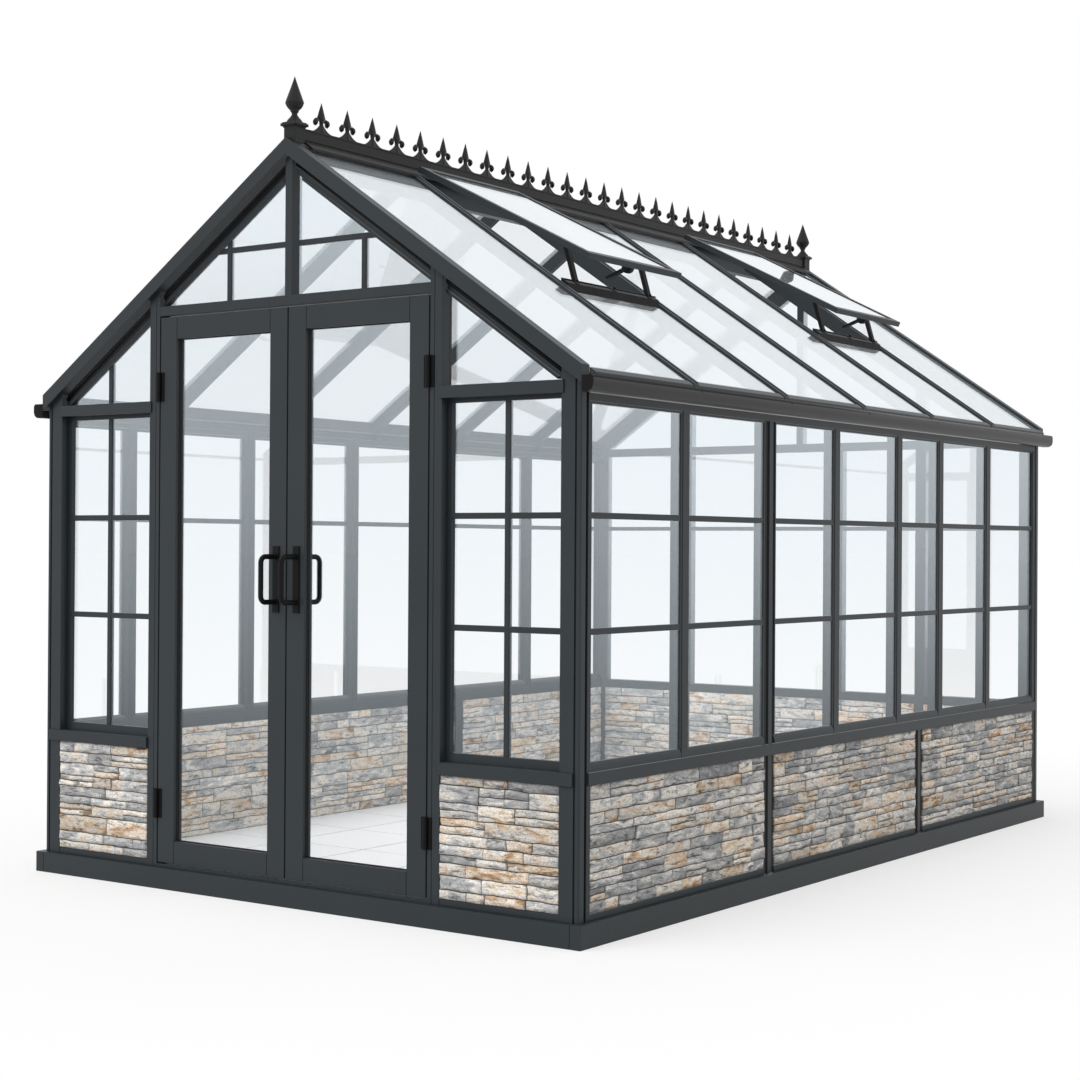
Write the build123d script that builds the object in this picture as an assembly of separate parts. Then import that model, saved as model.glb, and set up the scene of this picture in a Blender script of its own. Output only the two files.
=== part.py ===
from build123d import *
import math
import os

# A glazed garden house: stone dwarf walls and an aluminium frame on a metal base,
# a pitched glass roof with two propped vents, and a pair of glazed doors in the front gable.
# Millimetres. X runs across the gable, Y from the front gable to the back one, Z is up.
# The origin is the middle of the footprint, at the bottom of the base.

os.makedirs("parts", exist_ok=True)

# ---- driving dimensions ----
BASE_WIDTH = 2500        # X, over the base frame
BASE_DEPTH = 3850        # Y, over the base frame
BASE_HEIGHT = 75
BASE_SECTION = 75        # width of the base frame's box section
BASE_LEDGE = 25          # how far the base stands out past the walls
BASE_END = 42            # length of the corner pieces, from each end to the seam
FLOOR_TOP = 45

WALL_DEPTH = 50          # thickness of the framed walls
CORNER_WIDTH = 75        # face width of a corner post
STONE_INSET = 9          # cladding core set back from each wall face
DADO_BOTTOM = 500        # dado rail over the stone panels
DADO_TOP = 540
DADO_LIP = 8             # how far the dado rail stands out past the wall, and laps over the corner posts
POST_WIDTH = 40          # window posts
EAVE_BOTTOM = 1700       # underside of the beam over the side windows
TRANSOM_BOTTOM = 1725    # rail between a wall's windows and its gable glass
TRANSOM_TOP = 1765
TRANSOM_LIP = 5          # how far a transom stands out past the wall
TRANSOM_LAP = 10         # and laps over the posts at its ends
GLASS = 4
END_GLASS_SET_BACK = 38  # outer face of the gable walls' glass, in from the wall face
SIDE_GLASS_SET_BACK = 12
CORNER_ROUND = 6         # radius of the corner posts' outer edge
FRONT_GROOVE = (15, 7, 6)        # in from the corner, width and depth, on the end faces of a corner post
SIDE_GROOVE = (29, 13, 20)       # and on its side face

RIDGE_TOP = 2650         # apex of the barge boards
ROOF_PITCH = 34.2
BARGE_FOOT = 1238        # X of the lower ends of the barge boards
BARGE_DEPTH = 48         # measured square to the slope
BARGE_THICK = 45
BARGE_PROUD = 20         # how far the barge boards stand out past the gables
GLASS_SINK = 12          # roof glass below the tops of the barge boards, square to the slope
ROOF_BAYS = 6
RAFTER_WIDTH = 30
RAFTER_SINK = 2          # tops of the rafters, just under the ridge flashing
RAFTER_DEPTH = 62
GABLE_RAFTER_DEPTH = 92
GLASS_FOOT = 1256        # X where the roof glass ends, over the gutter
RAFTER_FOOT = 1262       # X where the rafters' glazing bars end
RIDGE_BEAM_WIDTH = 40
RIDGE_BEAM_BOTTOM = 2540

LEAF_WIDTH = 618         # one door leaf
LEAF_THICK = 40
LEAF_BOTTOM = 92
LEAF_TOP = 2066
LEAF_FRAME = 80          # stiles and rails of a leaf
LEAF_REBATE = 18         # from a leaf's outer face to its glass
LEAF_GAP = 6             # clearance all round a leaf
DOOR_POST_WIDTH = 50
HEAD_HEIGHT = 35
SEAM = 2                 # width of the open joints and grooves
SEAM_DEPTH = 4
POST_GROOVE = 17         # from the inner edge of a door post to its groove
MAIN_POST_STRIP = 24     # width of the strip that stands proud on a main side post
MAIN_POST_RECESS = 25    # depth of the recess on each side of that strip

HINGE_PIN_RADIUS = 4
HINGE_BARREL_RADIUS = 8
HINGE_HEIGHTS = (305, 1815)      # middles of the lower and upper hinges
HINGE_LENGTH = 105
HINGE_PLATE = 18                 # width of a hinge plate on the face
HINGE_PLATE_THICK = 3
PIN_CLEARANCE = 0.05
KNUCKLE_GAP = 0.5

HANDLE_MIDDLE = 1125
PLATE_HEIGHT = 230
PLATE_WIDTH = 28
PLATE_THICK = 5
GRIP_LENGTH = 175
GRIP_STAND = 78                  # from the leaf's face to the middle of the grip
GRIP_RADIUS = 9
GRIP_BEND = 22
HANDLE_FROM_EDGE = 44            # middle of the plate from the meeting edge

RING_AT_CORNER = 20              # frame bars round each front side window, by the corner post
RING_AT_DOOR = 19                # and by the door post
RING_RECESS = 32
RING_SILL = 30
RING_HEAD = 15

KING_POST_WIDTH = 32
GABLE_RAFTER_RECESS = 26

RIGHT_POSTS = (655, 1245, 1770, 2325, 2730, 3235)  # window posts, from the front of the base
STONE_POSTS = (1245, 2520)       # posts between the stone panels of a side wall
LEFT_HALF_BAYS = 11              # the left wall is a half bay and five whole ones
STONE_POST_WIDTH = 74
BACK_MAIN_POST = 654             # middle of the back wall's main posts, each side of centre
BACK_INNER_POST = 218

GUTTER_INNER = 1238
GUTTER_OUTER = 1285
GUTTER_BOTTOM = 1722
GUTTER_TOP = 1775
GUTTER_WALL = 4
GUTTER_END = 1922        # Y of its closed ends
GUTTER_RAIL = (1730, 1767)       # bottom and top of the rail that carries it on the eave beam
GUTTER_LIP = 8           # the front of the trough leans in by this at its top
GUTTER_FLOOR = 26        # width of the flat floor
GUTTER_BULGE = 4         # widest point above mid height

VENT_BAYS = (1, 4)               # counted from the front bay, which is 0
VENT_SILL_X = 700                # lower edge of the vent openings
VENT_HINGE_X = 52
VENT_LENGTH = 850
VENT_FRAME = 30
VENT_DEPTH = 22
VENT_OPEN = 7.5                  # degrees above the slope
VENT_GAP = 7                     # from each side of a sash to the middle of its rafter
VENT_LIFT = 12                   # sills and hinges stand this far above the slope
VENT_PANE_DEPTH = 10             # pane's underside below the top of the sash
SILL_LAP = 4                     # a sill laps over the edge of its opening
SILL_WIDTH = 30
STAY_INSET = 60                  # stays in from the ends of the sill
STAY_SECTION = (6, 14)
STAY_RUN = 41                    # how far a stay leans up the slope

CAP_TOP = 2690
CAP_WIDTH = 36
CAP_WING = 62                    # X of the edges of the ridge flashing
CAP_WING_THICK = 8
FINIAL_Y = 1874
PEDESTAL = 52
FINIAL_PLATE = 70
FINIAL_PLATE_THICK = 14
PLATE_TOP = 2706
SPIKES = 26
SPIKE_TIP = 2800
CREST_THICK = 10
SCALLOP_EDGE = 6         # height of the low band between two spikes
SPIKE_FOOT = 15          # half width of a spike's stem
HEAD_START = 0.28        # shares of the spike's height: bottom and top of the curls
HEAD_END = 0.51
CURL_REACH = 41
HEAD_HALF = 24           # half width of the arrow head above the curls

# ---- worked out from them ----
WALL_X = BASE_WIDTH / 2 - BASE_LEDGE
WALL_Y = BASE_DEPTH / 2 - BASE_LEDGE
INNER_X = WALL_X - WALL_DEPTH
INNER_Y = WALL_Y - WALL_DEPTH
CORNER_X = WALL_X - CORNER_WIDTH
CORNER_Y = WALL_Y - WALL_DEPTH
SLOPE = math.radians(ROOF_PITCH)
DOOR_HALF = LEAF_WIDTH + 1.5 * LEAF_GAP
DOOR_POST_OUTER = DOOR_HALF + DOOR_POST_WIDTH
HEAD_BOTTOM = LEAF_TOP + LEAF_GAP
HEAD_TOP = HEAD_BOTTOM + HEAD_HEIGHT
BARGE_Y = WALL_Y + BARGE_PROUD - BARGE_THICK      # inner face of a barge board
BAY = 2 * WALL_Y / ROOF_BAYS
GLASS_BED = GLASS_SINK + GLASS


def block(x1, x2, y1, y2, z1, z2):
    """A box between two corners."""
    return Pos(x1, y1, z1) * Box(x2 - x1, y2 - y1, z2 - z1, align=(Align.MIN, Align.MIN, Align.MIN))


def mirror_x(shape):
    return mirror(shape, about=Plane.YZ)


def mirror_y(shape):
    return mirror(shape, about=Plane.XZ)


def both_sides(shape):
    return Compound([shape, mirror_x(shape)])


def roof_z(x, sink=0.0):
    """Height of the slope at x, sunk square to itself."""
    return RIDGE_TOP - sink / math.cos(SLOPE) - abs(x) * math.tan(SLOPE)


def prism(points, y1, y2):
    """An outline in X and Z, pushed from y1 to y2."""
    outline = Plane.XZ.offset(-y1) * make_face(Polyline(*points, close=True))
    return extrude(outline, amount=-(y2 - y1))


def slope_strip(x1, x2, y1, y2, sink1, sink2):
    """A strip that follows the right-hand slope, with upright ends."""
    top = [(x1, roof_z(x1, sink1)), (x2, roof_z(x2, sink1))]
    bottom = [(x2, roof_z(x2, sink2)), (x1, roof_z(x1, sink2))]
    return prism(top + bottom, y1, y2)


def under_roof(x1, x2, y1, y2, z1, sink=GLASS_BED):
    """A post or panel on the right-hand side that reaches up to the slope."""
    return prism([(x1, z1), (x2, z1), (x2, roof_z(x2, sink)), (x1, roof_z(x1, sink))], y1, y2)


def cut(shape, tools):
    for tool in tools:
        shape = shape - tool
    return shape


def save(name, *shapes):
    solids = [solid for shape in shapes for solid in shape.solids()]
    node = solids[0] if len(solids) == 1 else Compound(solids)
    export_step(node, f"parts/{name}.step")


# ---- base frame and floor ----
front_edge = BASE_DEPTH / 2
side_edge = BASE_WIDTH / 2
base_front = block(-side_edge, side_edge, -front_edge, -front_edge + BASE_SECTION, 0, BASE_HEIGHT)
seam_x = side_edge - BASE_END
base_seam = block(seam_x, seam_x + SEAM, -front_edge, -front_edge + SEAM_DEPTH, 0, BASE_HEIGHT)
base_front = base_front - both_sides(base_seam)
base_side = block(
    side_edge - BASE_SECTION, side_edge, -front_edge + BASE_SECTION, front_edge - BASE_SECTION, 0, BASE_HEIGHT)
save("base_front", base_front)
save("base_back", mirror_y(base_front))
save("base_sides", both_sides(base_side))
floor_x = side_edge - BASE_SECTION
floor_y = front_edge - BASE_SECTION
save("floor", block(-floor_x, floor_x, -floor_y, floor_y, 0, FLOOR_TOP))

# ---- barge boards over the gables ----
barge_side = slope_strip(0, BARGE_FOOT, -BARGE_Y - BARGE_THICK, -BARGE_Y, 0, BARGE_DEPTH)
front_barge = barge_side + mirror_x(barge_side)
back_barge = mirror_y(front_barge)
save("front_barge_boards", front_barge)
save("back_barge_boards", back_barge)

# ---- corner posts, up to the roof ----
inset, width, depth = FRONT_GROOVE
groove_x = WALL_X - inset - width
front_groove = block(groove_x, groove_x + width, -WALL_Y, -WALL_Y + depth, BASE_HEIGHT, CAP_TOP)
inset, width, depth = SIDE_GROOVE
groove_y = -WALL_Y + inset + width
side_groove = block(WALL_X - depth, WALL_X, groove_y - width, groove_y, BASE_HEIGHT, CAP_TOP)
corner_post = under_roof(CORNER_X, WALL_X, -WALL_Y, -CORNER_Y, BASE_HEIGHT)
outer_edge = corner_post.edges().filter_by(Axis.Z).sort_by(lambda edge: edge.center().X - edge.center().Y)[-1]
corner_post = cut(fillet(outer_edge, CORNER_ROUND), [front_barge, front_groove, side_groove])
corner_posts = both_sides(corner_post)
save("corner_posts", corner_posts, mirror_y(corner_posts))

# ---- door posts, head and threshold ----
post_groove_x = DOOR_HALF + POST_GROOVE
post_groove = block(post_groove_x, post_groove_x + SEAM, -WALL_Y, -WALL_Y + SEAM_DEPTH, BASE_HEIGHT, CAP_TOP)
door_post = under_roof(DOOR_HALF, DOOR_POST_OUTER, -WALL_Y, -INNER_Y, BASE_HEIGHT)
door_post = cut(door_post, [front_barge, post_groove])
door_head = block(-DOOR_HALF, DOOR_HALF, -WALL_Y, -INNER_Y, HEAD_BOTTOM, HEAD_TOP)
threshold_top = LEAF_BOTTOM - LEAF_GAP
save("door_posts", both_sides(door_post))
save("door_head", door_head)
save("threshold", block(-DOOR_HALF, DOOR_HALF, -WALL_Y, -INNER_Y, BASE_HEIGHT, threshold_top))

# ---- back wall posts ----
back_post_x1 = BACK_MAIN_POST - DOOR_POST_WIDTH / 2
back_post_x2 = BACK_MAIN_POST + DOOR_POST_WIDTH / 2
back_main = mirror_y(under_roof(back_post_x1, back_post_x2, -WALL_Y, -INNER_Y, BASE_HEIGHT))
back_main = back_main - back_barge
back_inner = block(BACK_INNER_POST - POST_WIDTH / 2, BACK_INNER_POST + POST_WIDTH / 2,
                   INNER_Y, WALL_Y, DADO_TOP, TRANSOM_BOTTOM)
save("back_wall_posts", both_sides(back_main), both_sides(back_inner))

# ---- side wall posts: short ones between stone panels, tall ones between windows ----
right_post_list = [(middle - front_edge, POST_WIDTH) for middle in RIGHT_POSTS]
right_post_list[1] = (right_post_list[1][0], STONE_POST_WIDTH)
half_bay = 2 * CORNER_Y / LEFT_HALF_BAYS
left_post_list = [(-CORNER_Y + (2 * k + 1) * half_bay, POST_WIDTH) for k in range(LEFT_HALF_BAYS // 2)]
short_post_list = [(middle - front_edge, STONE_POST_WIDTH) for middle in STONE_POSTS]


def side_posts(post_list, z1, z2):
    """Plain posts, and wide ones with only a strip down the middle standing out to the wall face."""
    posts = []
    for y, width in post_list:
        post = block(INNER_X, WALL_X, y - width / 2, y + width / 2, z1, z2)
        if width == STONE_POST_WIDTH:
            strip = block(INNER_X, WALL_X, y - MAIN_POST_STRIP / 2, y + MAIN_POST_STRIP / 2, z1, z2)
            post = block(INNER_X, WALL_X - MAIN_POST_RECESS, y - width / 2, y + width / 2, z1, z2) + strip
        posts.append(post)
    return posts


short_posts = side_posts(short_post_list, BASE_HEIGHT, DADO_BOTTOM)
right_posts = side_posts(right_post_list, DADO_TOP, EAVE_BOTTOM)
left_posts = [mirror_x(post) for post in side_posts(left_post_list, DADO_TOP, EAVE_BOTTOM)]
left_short_posts = [mirror_x(post) for post in short_posts]
save("right_wall_posts", *short_posts, *right_posts)
save("left_wall_posts", *left_short_posts, *left_posts)

# ---- stone panels: the cores that carry the cladding ----
stone_out = WALL_X - STONE_INSET
stone_in = INNER_X + STONE_INSET
right_stone = cut(block(stone_in, stone_out, -CORNER_Y, CORNER_Y, BASE_HEIGHT, DADO_BOTTOM), short_posts)
front_stone = block(DOOR_POST_OUTER, CORNER_X, -WALL_Y + STONE_INSET, -INNER_Y - STONE_INSET,
                    BASE_HEIGHT, DADO_BOTTOM)
back_stone = block(-CORNER_X, CORNER_X, INNER_Y + STONE_INSET, WALL_Y - STONE_INSET, BASE_HEIGHT, DADO_BOTTOM)
back_stone = back_stone - both_sides(back_main)
save("front_stone_panels", both_sides(front_stone))
save("right_stone_panels", right_stone)
save("left_stone_panels", mirror_x(right_stone))
save("back_stone_panels", back_stone)

# ---- dado rails on top of the stone ----
side_dado = block(INNER_X, WALL_X + DADO_LIP, -CORNER_Y, CORNER_Y, DADO_BOTTOM, DADO_TOP)
side_dado = side_dado + block(WALL_X, WALL_X + DADO_LIP, groove_y, -groove_y, DADO_BOTTOM, DADO_TOP)
front_dado = block(DOOR_POST_OUTER, CORNER_X, -WALL_Y - DADO_LIP, -INNER_Y, DADO_BOTTOM, DADO_TOP)
front_lap = block(CORNER_X, groove_x, -WALL_Y - DADO_LIP, -WALL_Y, DADO_BOTTOM, DADO_TOP)
front_dado = front_dado + front_lap
back_post_slot = block(back_post_x1, back_post_x2, INNER_Y, WALL_Y + DADO_LIP, DADO_BOTTOM, DADO_TOP)
back_dado = block(-CORNER_X, CORNER_X, INNER_Y, WALL_Y + DADO_LIP, DADO_BOTTOM, DADO_TOP)
back_dado = back_dado - both_sides(back_post_slot)
back_dado = back_dado + mirror_y(front_lap) + mirror_x(mirror_y(front_lap))
save("side_dado_rails", both_sides(side_dado))
save("end_dado_rails", both_sides(front_dado), back_dado)

# ---- eave beams and transoms ----
eave_beam = under_roof(INNER_X, WALL_X, -CORNER_Y, CORNER_Y, EAVE_BOTTOM)
front_transom = block(DOOR_POST_OUTER, CORNER_X, -WALL_Y, -INNER_Y, TRANSOM_BOTTOM, TRANSOM_TOP)
transom_lip = block(DOOR_POST_OUTER - TRANSOM_LAP, CORNER_X + TRANSOM_LAP, -WALL_Y - TRANSOM_LIP, -WALL_Y,
                    TRANSOM_BOTTOM, TRANSOM_TOP)
front_transom = front_transom + transom_lip
back_transom = block(-CORNER_X, CORNER_X, INNER_Y, WALL_Y, TRANSOM_BOTTOM, TRANSOM_TOP)
back_transom = back_transom - both_sides(back_main)
back_transom = back_transom + mirror_y(transom_lip) + mirror_x(mirror_y(transom_lip))
save("eave_beams", both_sides(eave_beam))
save("transoms", both_sides(front_transom), back_transom)

# ---- recessed frames of the two front side windows ----
ring_outer = block(DOOR_POST_OUTER, CORNER_X, -WALL_Y + RING_RECESS, -INNER_Y, DADO_TOP, TRANSOM_BOTTOM)
ring_hole = block(DOOR_POST_OUTER + RING_AT_DOOR, CORNER_X - RING_AT_CORNER, -WALL_Y, -INNER_Y,
                  DADO_TOP + RING_SILL, TRANSOM_BOTTOM - RING_HEAD)
front_ring = ring_outer - ring_hole
save("front_window_frames", both_sides(front_ring))

# ---- king posts and gable rafters ----
king_half = KING_POST_WIDTH / 2


def ridge_prism(half, z1, y1, y2):
    """A member on the centre line whose top follows both slopes, under the glass."""
    top_z = roof_z(half, GLASS_BED)
    return prism([(-half, z1), (half, z1), (half, top_z), (0, roof_z(0, GLASS_BED)), (-half, top_z)], y1, y2)


front_king = ridge_prism(king_half, HEAD_TOP, -WALL_Y, -INNER_Y)
back_king = ridge_prism(king_half, TRANSOM_TOP, INNER_Y, WALL_Y)
save("king_posts", front_king - front_barge, back_king - back_barge)
gable_rafter = slope_strip(king_half, CORNER_X, -WALL_Y + GABLE_RAFTER_RECESS, -INNER_Y, GLASS_BED,
                            GABLE_RAFTER_DEPTH)
front_gable_rafters = both_sides(cut(gable_rafter, [door_post, front_transom, front_barge]))
back_gable_rafters = both_sides(cut(mirror_y(gable_rafter), [back_main, back_transom, back_barge]))
save("front_gable_rafters", front_gable_rafters)
save("back_gable_rafters", back_gable_rafters)

# ---- ridge beam and roof rafters ----
ridge_half = RIDGE_BEAM_WIDTH / 2
save("ridge_beam", ridge_prism(ridge_half, RIDGE_BEAM_BOTTOM, -INNER_Y, INNER_Y))
rafters = []
for k in range(1, ROOF_BAYS):
    middle = -WALL_Y + k * BAY
    y1 = middle - RAFTER_WIDTH / 2
    y2 = middle + RAFTER_WIDTH / 2
    bar = slope_strip(ridge_half, INNER_X, y1, y2, RAFTER_SINK, RAFTER_DEPTH)
    rafters.append(bar + slope_strip(INNER_X, RAFTER_FOOT, y1, y2, RAFTER_SINK, GLASS_BED))
right_rafters = Compound(rafters)
save("right_rafters", right_rafters)
save("left_rafters", mirror_x(right_rafters))

# ---- roof glass, with an opening under each vent ----
roof_sheet = cut(slope_strip(ridge_half, GLASS_FOOT, -BARGE_Y, BARGE_Y, GLASS_SINK, GLASS_BED), rafters)
vent_openings = []
for bay in VENT_BAYS:
    y1 = -WALL_Y + bay * BAY
    vent_openings.append(block(0, VENT_SILL_X, y1, y1 + BAY, EAVE_BOTTOM, CAP_TOP))
save("left_roof_glass", mirror_x(roof_sheet))
save("right_roof_glass", cut(roof_sheet, vent_openings))

# ---- wall and gable glass ----
front_members = [both_sides(door_post), both_sides(front_transom), both_sides(front_ring),
                 both_sides(gable_rafter), front_king, door_head]
gable_outline = [(-CORNER_X, DADO_TOP), (CORNER_X, DADO_TOP), (CORNER_X, roof_z(CORNER_X, GLASS_BED)),
                 (0, roof_z(0, GLASS_BED)), (-CORNER_X, roof_z(CORNER_X, GLASS_BED))]
glass_face = WALL_Y - END_GLASS_SET_BACK
front_sheet = prism(gable_outline, -glass_face, -glass_face + GLASS)
doorway = block(-DOOR_HALF, DOOR_HALF, -WALL_Y, -INNER_Y, DADO_TOP, HEAD_TOP)
save("front_glass", cut(front_sheet, [doorway] + front_members))
back_members = [both_sides(back_main), both_sides(back_inner), back_transom, back_king,
                both_sides(mirror_y(gable_rafter))]
save("back_glass", cut(mirror_y(front_sheet), back_members))
side_glass = WALL_X - SIDE_GLASS_SET_BACK
side_sheet = block(side_glass - GLASS, side_glass, -CORNER_Y, CORNER_Y, DADO_TOP, EAVE_BOTTOM)
save("right_glass", cut(side_sheet, right_posts))
save("left_glass", cut(mirror_x(side_sheet), left_posts))

# ---- gutters: an open trough with a rounded front and closed ends ----
gutter_lip_x = GUTTER_OUTER - GUTTER_LIP
gutter_floor_x = GUTTER_INNER + GUTTER_FLOOR
bulge_z = (GUTTER_BOTTOM + GUTTER_TOP) / 2 + GUTTER_BULGE


def trough_outline(gap):
    """The trough's section, drawn in by gap on its closed sides."""
    left = GUTTER_INNER + gap
    floor = GUTTER_BOTTOM + gap
    top = (gutter_lip_x - gap, GUTTER_TOP)
    path = [
        Line((left, GUTTER_TOP), (left, floor)),
        Line((left, floor), (gutter_floor_x, floor)),
        ThreePointArc((gutter_floor_x, floor), (GUTTER_OUTER - gap, bulge_z), top),
        Line(top, (left, GUTTER_TOP)),
    ]
    return make_face(Curve() + path)


gutter_length = 2 * GUTTER_END
gutter_solid = extrude(Plane.XZ.offset(GUTTER_END) * trough_outline(0), amount=-gutter_length)
gutter_space = extrude(Plane.XZ.offset(GUTTER_END - GUTTER_WALL) * trough_outline(GUTTER_WALL),
                       amount=-(gutter_length - 2 * GUTTER_WALL))
gutter_rail = block(WALL_X, GUTTER_INNER, -BARGE_Y, BARGE_Y, *GUTTER_RAIL)
right_gutter = gutter_solid - gutter_space + gutter_rail
save("right_gutter", right_gutter)
save("left_gutter", mirror_x(right_gutter))

# ---- ridge cap, cresting and finials ----
cap_half = CAP_WIDTH / 2
pedestal_half = PEDESTAL / 2
cap_end = FINIAL_Y - pedestal_half
flashing = slope_strip(cap_half, CAP_WING, -cap_end, cap_end, -CAP_WING_THICK, 0)
save("ridge_cap", block(-cap_half, cap_half, -cap_end, cap_end, roof_z(cap_half), CAP_TOP))
save("ridge_flashings", both_sides(flashing))

spike_pitch = 2 * FINIAL_Y / (SPIKES + 1)
spike_height = SPIKE_TIP - CAP_TOP


def spike_outline(y):
    """One spearhead on a flared foot, with a curl each side, standing on the cap at y."""
    half_pitch = spike_pitch / 2
    edge = (y + half_pitch, CAP_TOP + SCALLOP_EDGE)
    scallop = (y + CURL_REACH + 3, CAP_TOP + 2 * SCALLOP_EDGE)
    stem = (y + SPIKE_FOOT, CAP_TOP + HEAD_START * spike_height)
    curl = (y + CURL_REACH - 3, stem[1])
    reach = (y + CURL_REACH, CAP_TOP + (HEAD_START + 0.7 * (HEAD_END - HEAD_START)) * spike_height)
    shoulder = (y + HEAD_HALF, CAP_TOP + HEAD_END * spike_height)
    right = [
        Line((y + half_pitch, CAP_TOP), edge),
        ThreePointArc(edge, scallop, stem),
        Line(stem, curl),
        ThreePointArc(curl, reach, shoulder),
        Line(shoulder, (y, SPIKE_TIP)),
    ]
    left = [mirror(edge, about=Plane.YZ.offset(y)) for edge in right]
    return make_face(Curve() + [Line((y - half_pitch, CAP_TOP), (y + half_pitch, CAP_TOP))] + right + left)


crest = None
for k in range(SPIKES):
    face = spike_outline(-FINIAL_Y + (k + 1) * spike_pitch)
    crest = face if crest is None else crest + face
cresting = extrude(Plane.YZ.offset(-CREST_THICK / 2) * crest, amount=CREST_THICK)
save("ridge_cresting", cresting)

# radius and height, from the flared foot over the neck and the bulb to the point
finial_profile = [(0, 0), (28, 0), (26, 7), (17, 16), (11, 24), (10, 34), (15, 41), (28, 56), (33, 66),
                  (33, 72), (31, 76), (0, 162)]
turned = make_face(Plane.XZ * Polyline(*finial_profile, close=True))
finial = Pos(0, -FINIAL_Y, PLATE_TOP) * revolve(turned, axis=Axis.Z)
plate_bottom = PLATE_TOP - FINIAL_PLATE_THICK
pedestal_z = roof_z(pedestal_half)
pedestal_foot = [(-pedestal_half, pedestal_z), (0, roof_z(0)), (pedestal_half, pedestal_z)]
pedestal_top = [(pedestal_half, plate_bottom), (-pedestal_half, plate_bottom)]
pedestal = prism(pedestal_foot + pedestal_top, -FINIAL_Y - pedestal_half, -FINIAL_Y + pedestal_half)
plate_half = FINIAL_PLATE / 2
plate = block(-plate_half, plate_half, -FINIAL_Y - plate_half, -FINIAL_Y + plate_half, plate_bottom, PLATE_TOP)
front_finial = pedestal + plate + finial
save("finials", front_finial, mirror_y(front_finial))

# ---- vents, fixed propped open ----
sashes = []
vent_panes = []
sills = []
stays = []
sash_width = BAY - 2 * VENT_GAP
hinge_z = roof_z(VENT_HINGE_X, -VENT_LIFT)
sash_slope = math.radians(ROOF_PITCH - VENT_OPEN)
low_corner = (Align.MIN, Align.CENTER, Align.MIN)
sash_outer = Box(VENT_LENGTH, sash_width, VENT_DEPTH, align=low_corner)
glazed_length = VENT_LENGTH - 2 * VENT_FRAME
glazed_width = sash_width - 2 * VENT_FRAME
sash_hole = Pos(VENT_FRAME, 0, 0) * Box(glazed_length, glazed_width, VENT_DEPTH, align=low_corner)
pane = Box(glazed_length, glazed_width, GLASS, align=low_corner)
pane = Pos(VENT_FRAME, 0, VENT_DEPTH - VENT_PANE_DEPTH) * pane
sill_x = VENT_SILL_X - SILL_LAP
sill_half = BAY / 2 - RAFTER_WIDTH / 2
stay_x = sill_x + SILL_WIDTH / 2
for bay in VENT_BAYS:
    middle = -WALL_Y + (bay + 0.5) * BAY
    place = Pos(VENT_HINGE_X, middle, hinge_z) * Rot(0, ROOF_PITCH - VENT_OPEN, 0)
    sashes.append(place * (sash_outer - sash_hole))
    vent_panes.append(place * pane)
    sill = slope_strip(sill_x, sill_x + SILL_WIDTH, middle - sill_half, middle + sill_half,
                       -VENT_LIFT, GLASS_SINK)
    sills.append(sill)
    for side in (-1, 1):
        y = middle + side * (sill_half - STAY_INSET)
        foot = Vector(stay_x, y, roof_z(stay_x, -VENT_LIFT))
        head_x = stay_x - STAY_RUN
        head = Vector(head_x, y, hinge_z - (head_x - VENT_HINGE_X) * math.tan(sash_slope))
        run = head - foot
        arm_plane = Plane(origin=foot, x_dir=(0, 1, 0), z_dir=run)
        arm = extrude(arm_plane * Rectangle(*STAY_SECTION), amount=run.length)
        stays.append(cut(arm, [sill, place * sash_outer]))
save("vent_sashes", *sashes)
save("vent_glass", *vent_panes)
save("vent_sills", *sills)
save("vent_stays", *stays)

# ---- door leaves: modelled on the right, mirrored for the left ----
leaf_in = LEAF_GAP / 2
leaf_out = leaf_in + LEAF_WIDTH
leaf_front = -WALL_Y
leaf_back = -WALL_Y + LEAF_THICK
leaf_outer = block(leaf_in, leaf_out, leaf_front, leaf_back, LEAF_BOTTOM, LEAF_TOP)
leaf_hole = block(leaf_in + LEAF_FRAME, leaf_out - LEAF_FRAME, leaf_front, leaf_back,
                  LEAF_BOTTOM + LEAF_FRAME, LEAF_TOP - LEAF_FRAME)
leaf_frame = leaf_outer - leaf_hole
for x in (leaf_in + LEAF_FRAME, leaf_out - LEAF_FRAME - SEAM):
    for y in (leaf_front, leaf_back - SEAM_DEPTH):
        leaf_frame = leaf_frame - block(x, x + SEAM, y, y + SEAM_DEPTH, LEAF_BOTTOM, LEAF_TOP)
leaf_glass = block(leaf_in + LEAF_FRAME, leaf_out - LEAF_FRAME, leaf_front + LEAF_REBATE,
                   leaf_front + LEAF_REBATE + GLASS,
                   LEAF_BOTTOM + LEAF_FRAME, LEAF_TOP - LEAF_FRAME)

handle_x = leaf_in + HANDLE_FROM_EDGE
low_grip = HANDLE_MIDDLE - GRIP_LENGTH / 2 + GRIP_RADIUS
high_grip = HANDLE_MIDDLE + GRIP_LENGTH / 2 - GRIP_RADIUS


def pull_handle(face_y, out):
    """A back plate with a D-shaped grip, standing off one face of the leaf."""
    plate_y = sorted((face_y, face_y + out * PLATE_THICK))
    back_plate = block(handle_x - PLATE_WIDTH / 2, handle_x + PLATE_WIDTH / 2, plate_y[0], plate_y[1],
                       HANDLE_MIDDLE - PLATE_HEIGHT / 2, HANDLE_MIDDLE + PLATE_HEIGHT / 2)
    start = face_y + out * PLATE_THICK
    far = face_y + out * GRIP_STAND
    route = FilletPolyline((handle_x, start, low_grip), (handle_x, far, low_grip), (handle_x, far, high_grip),
                           (handle_x, start, high_grip), radius=GRIP_BEND)
    ring = Plane(origin=(handle_x, start, low_grip), z_dir=(0, out, 0)) * Circle(GRIP_RADIUS)
    return back_plate + sweep(ring, path=route)


outer_handle = pull_handle(leaf_front, -1)
inner_handle = pull_handle(leaf_back, 1)

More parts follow.
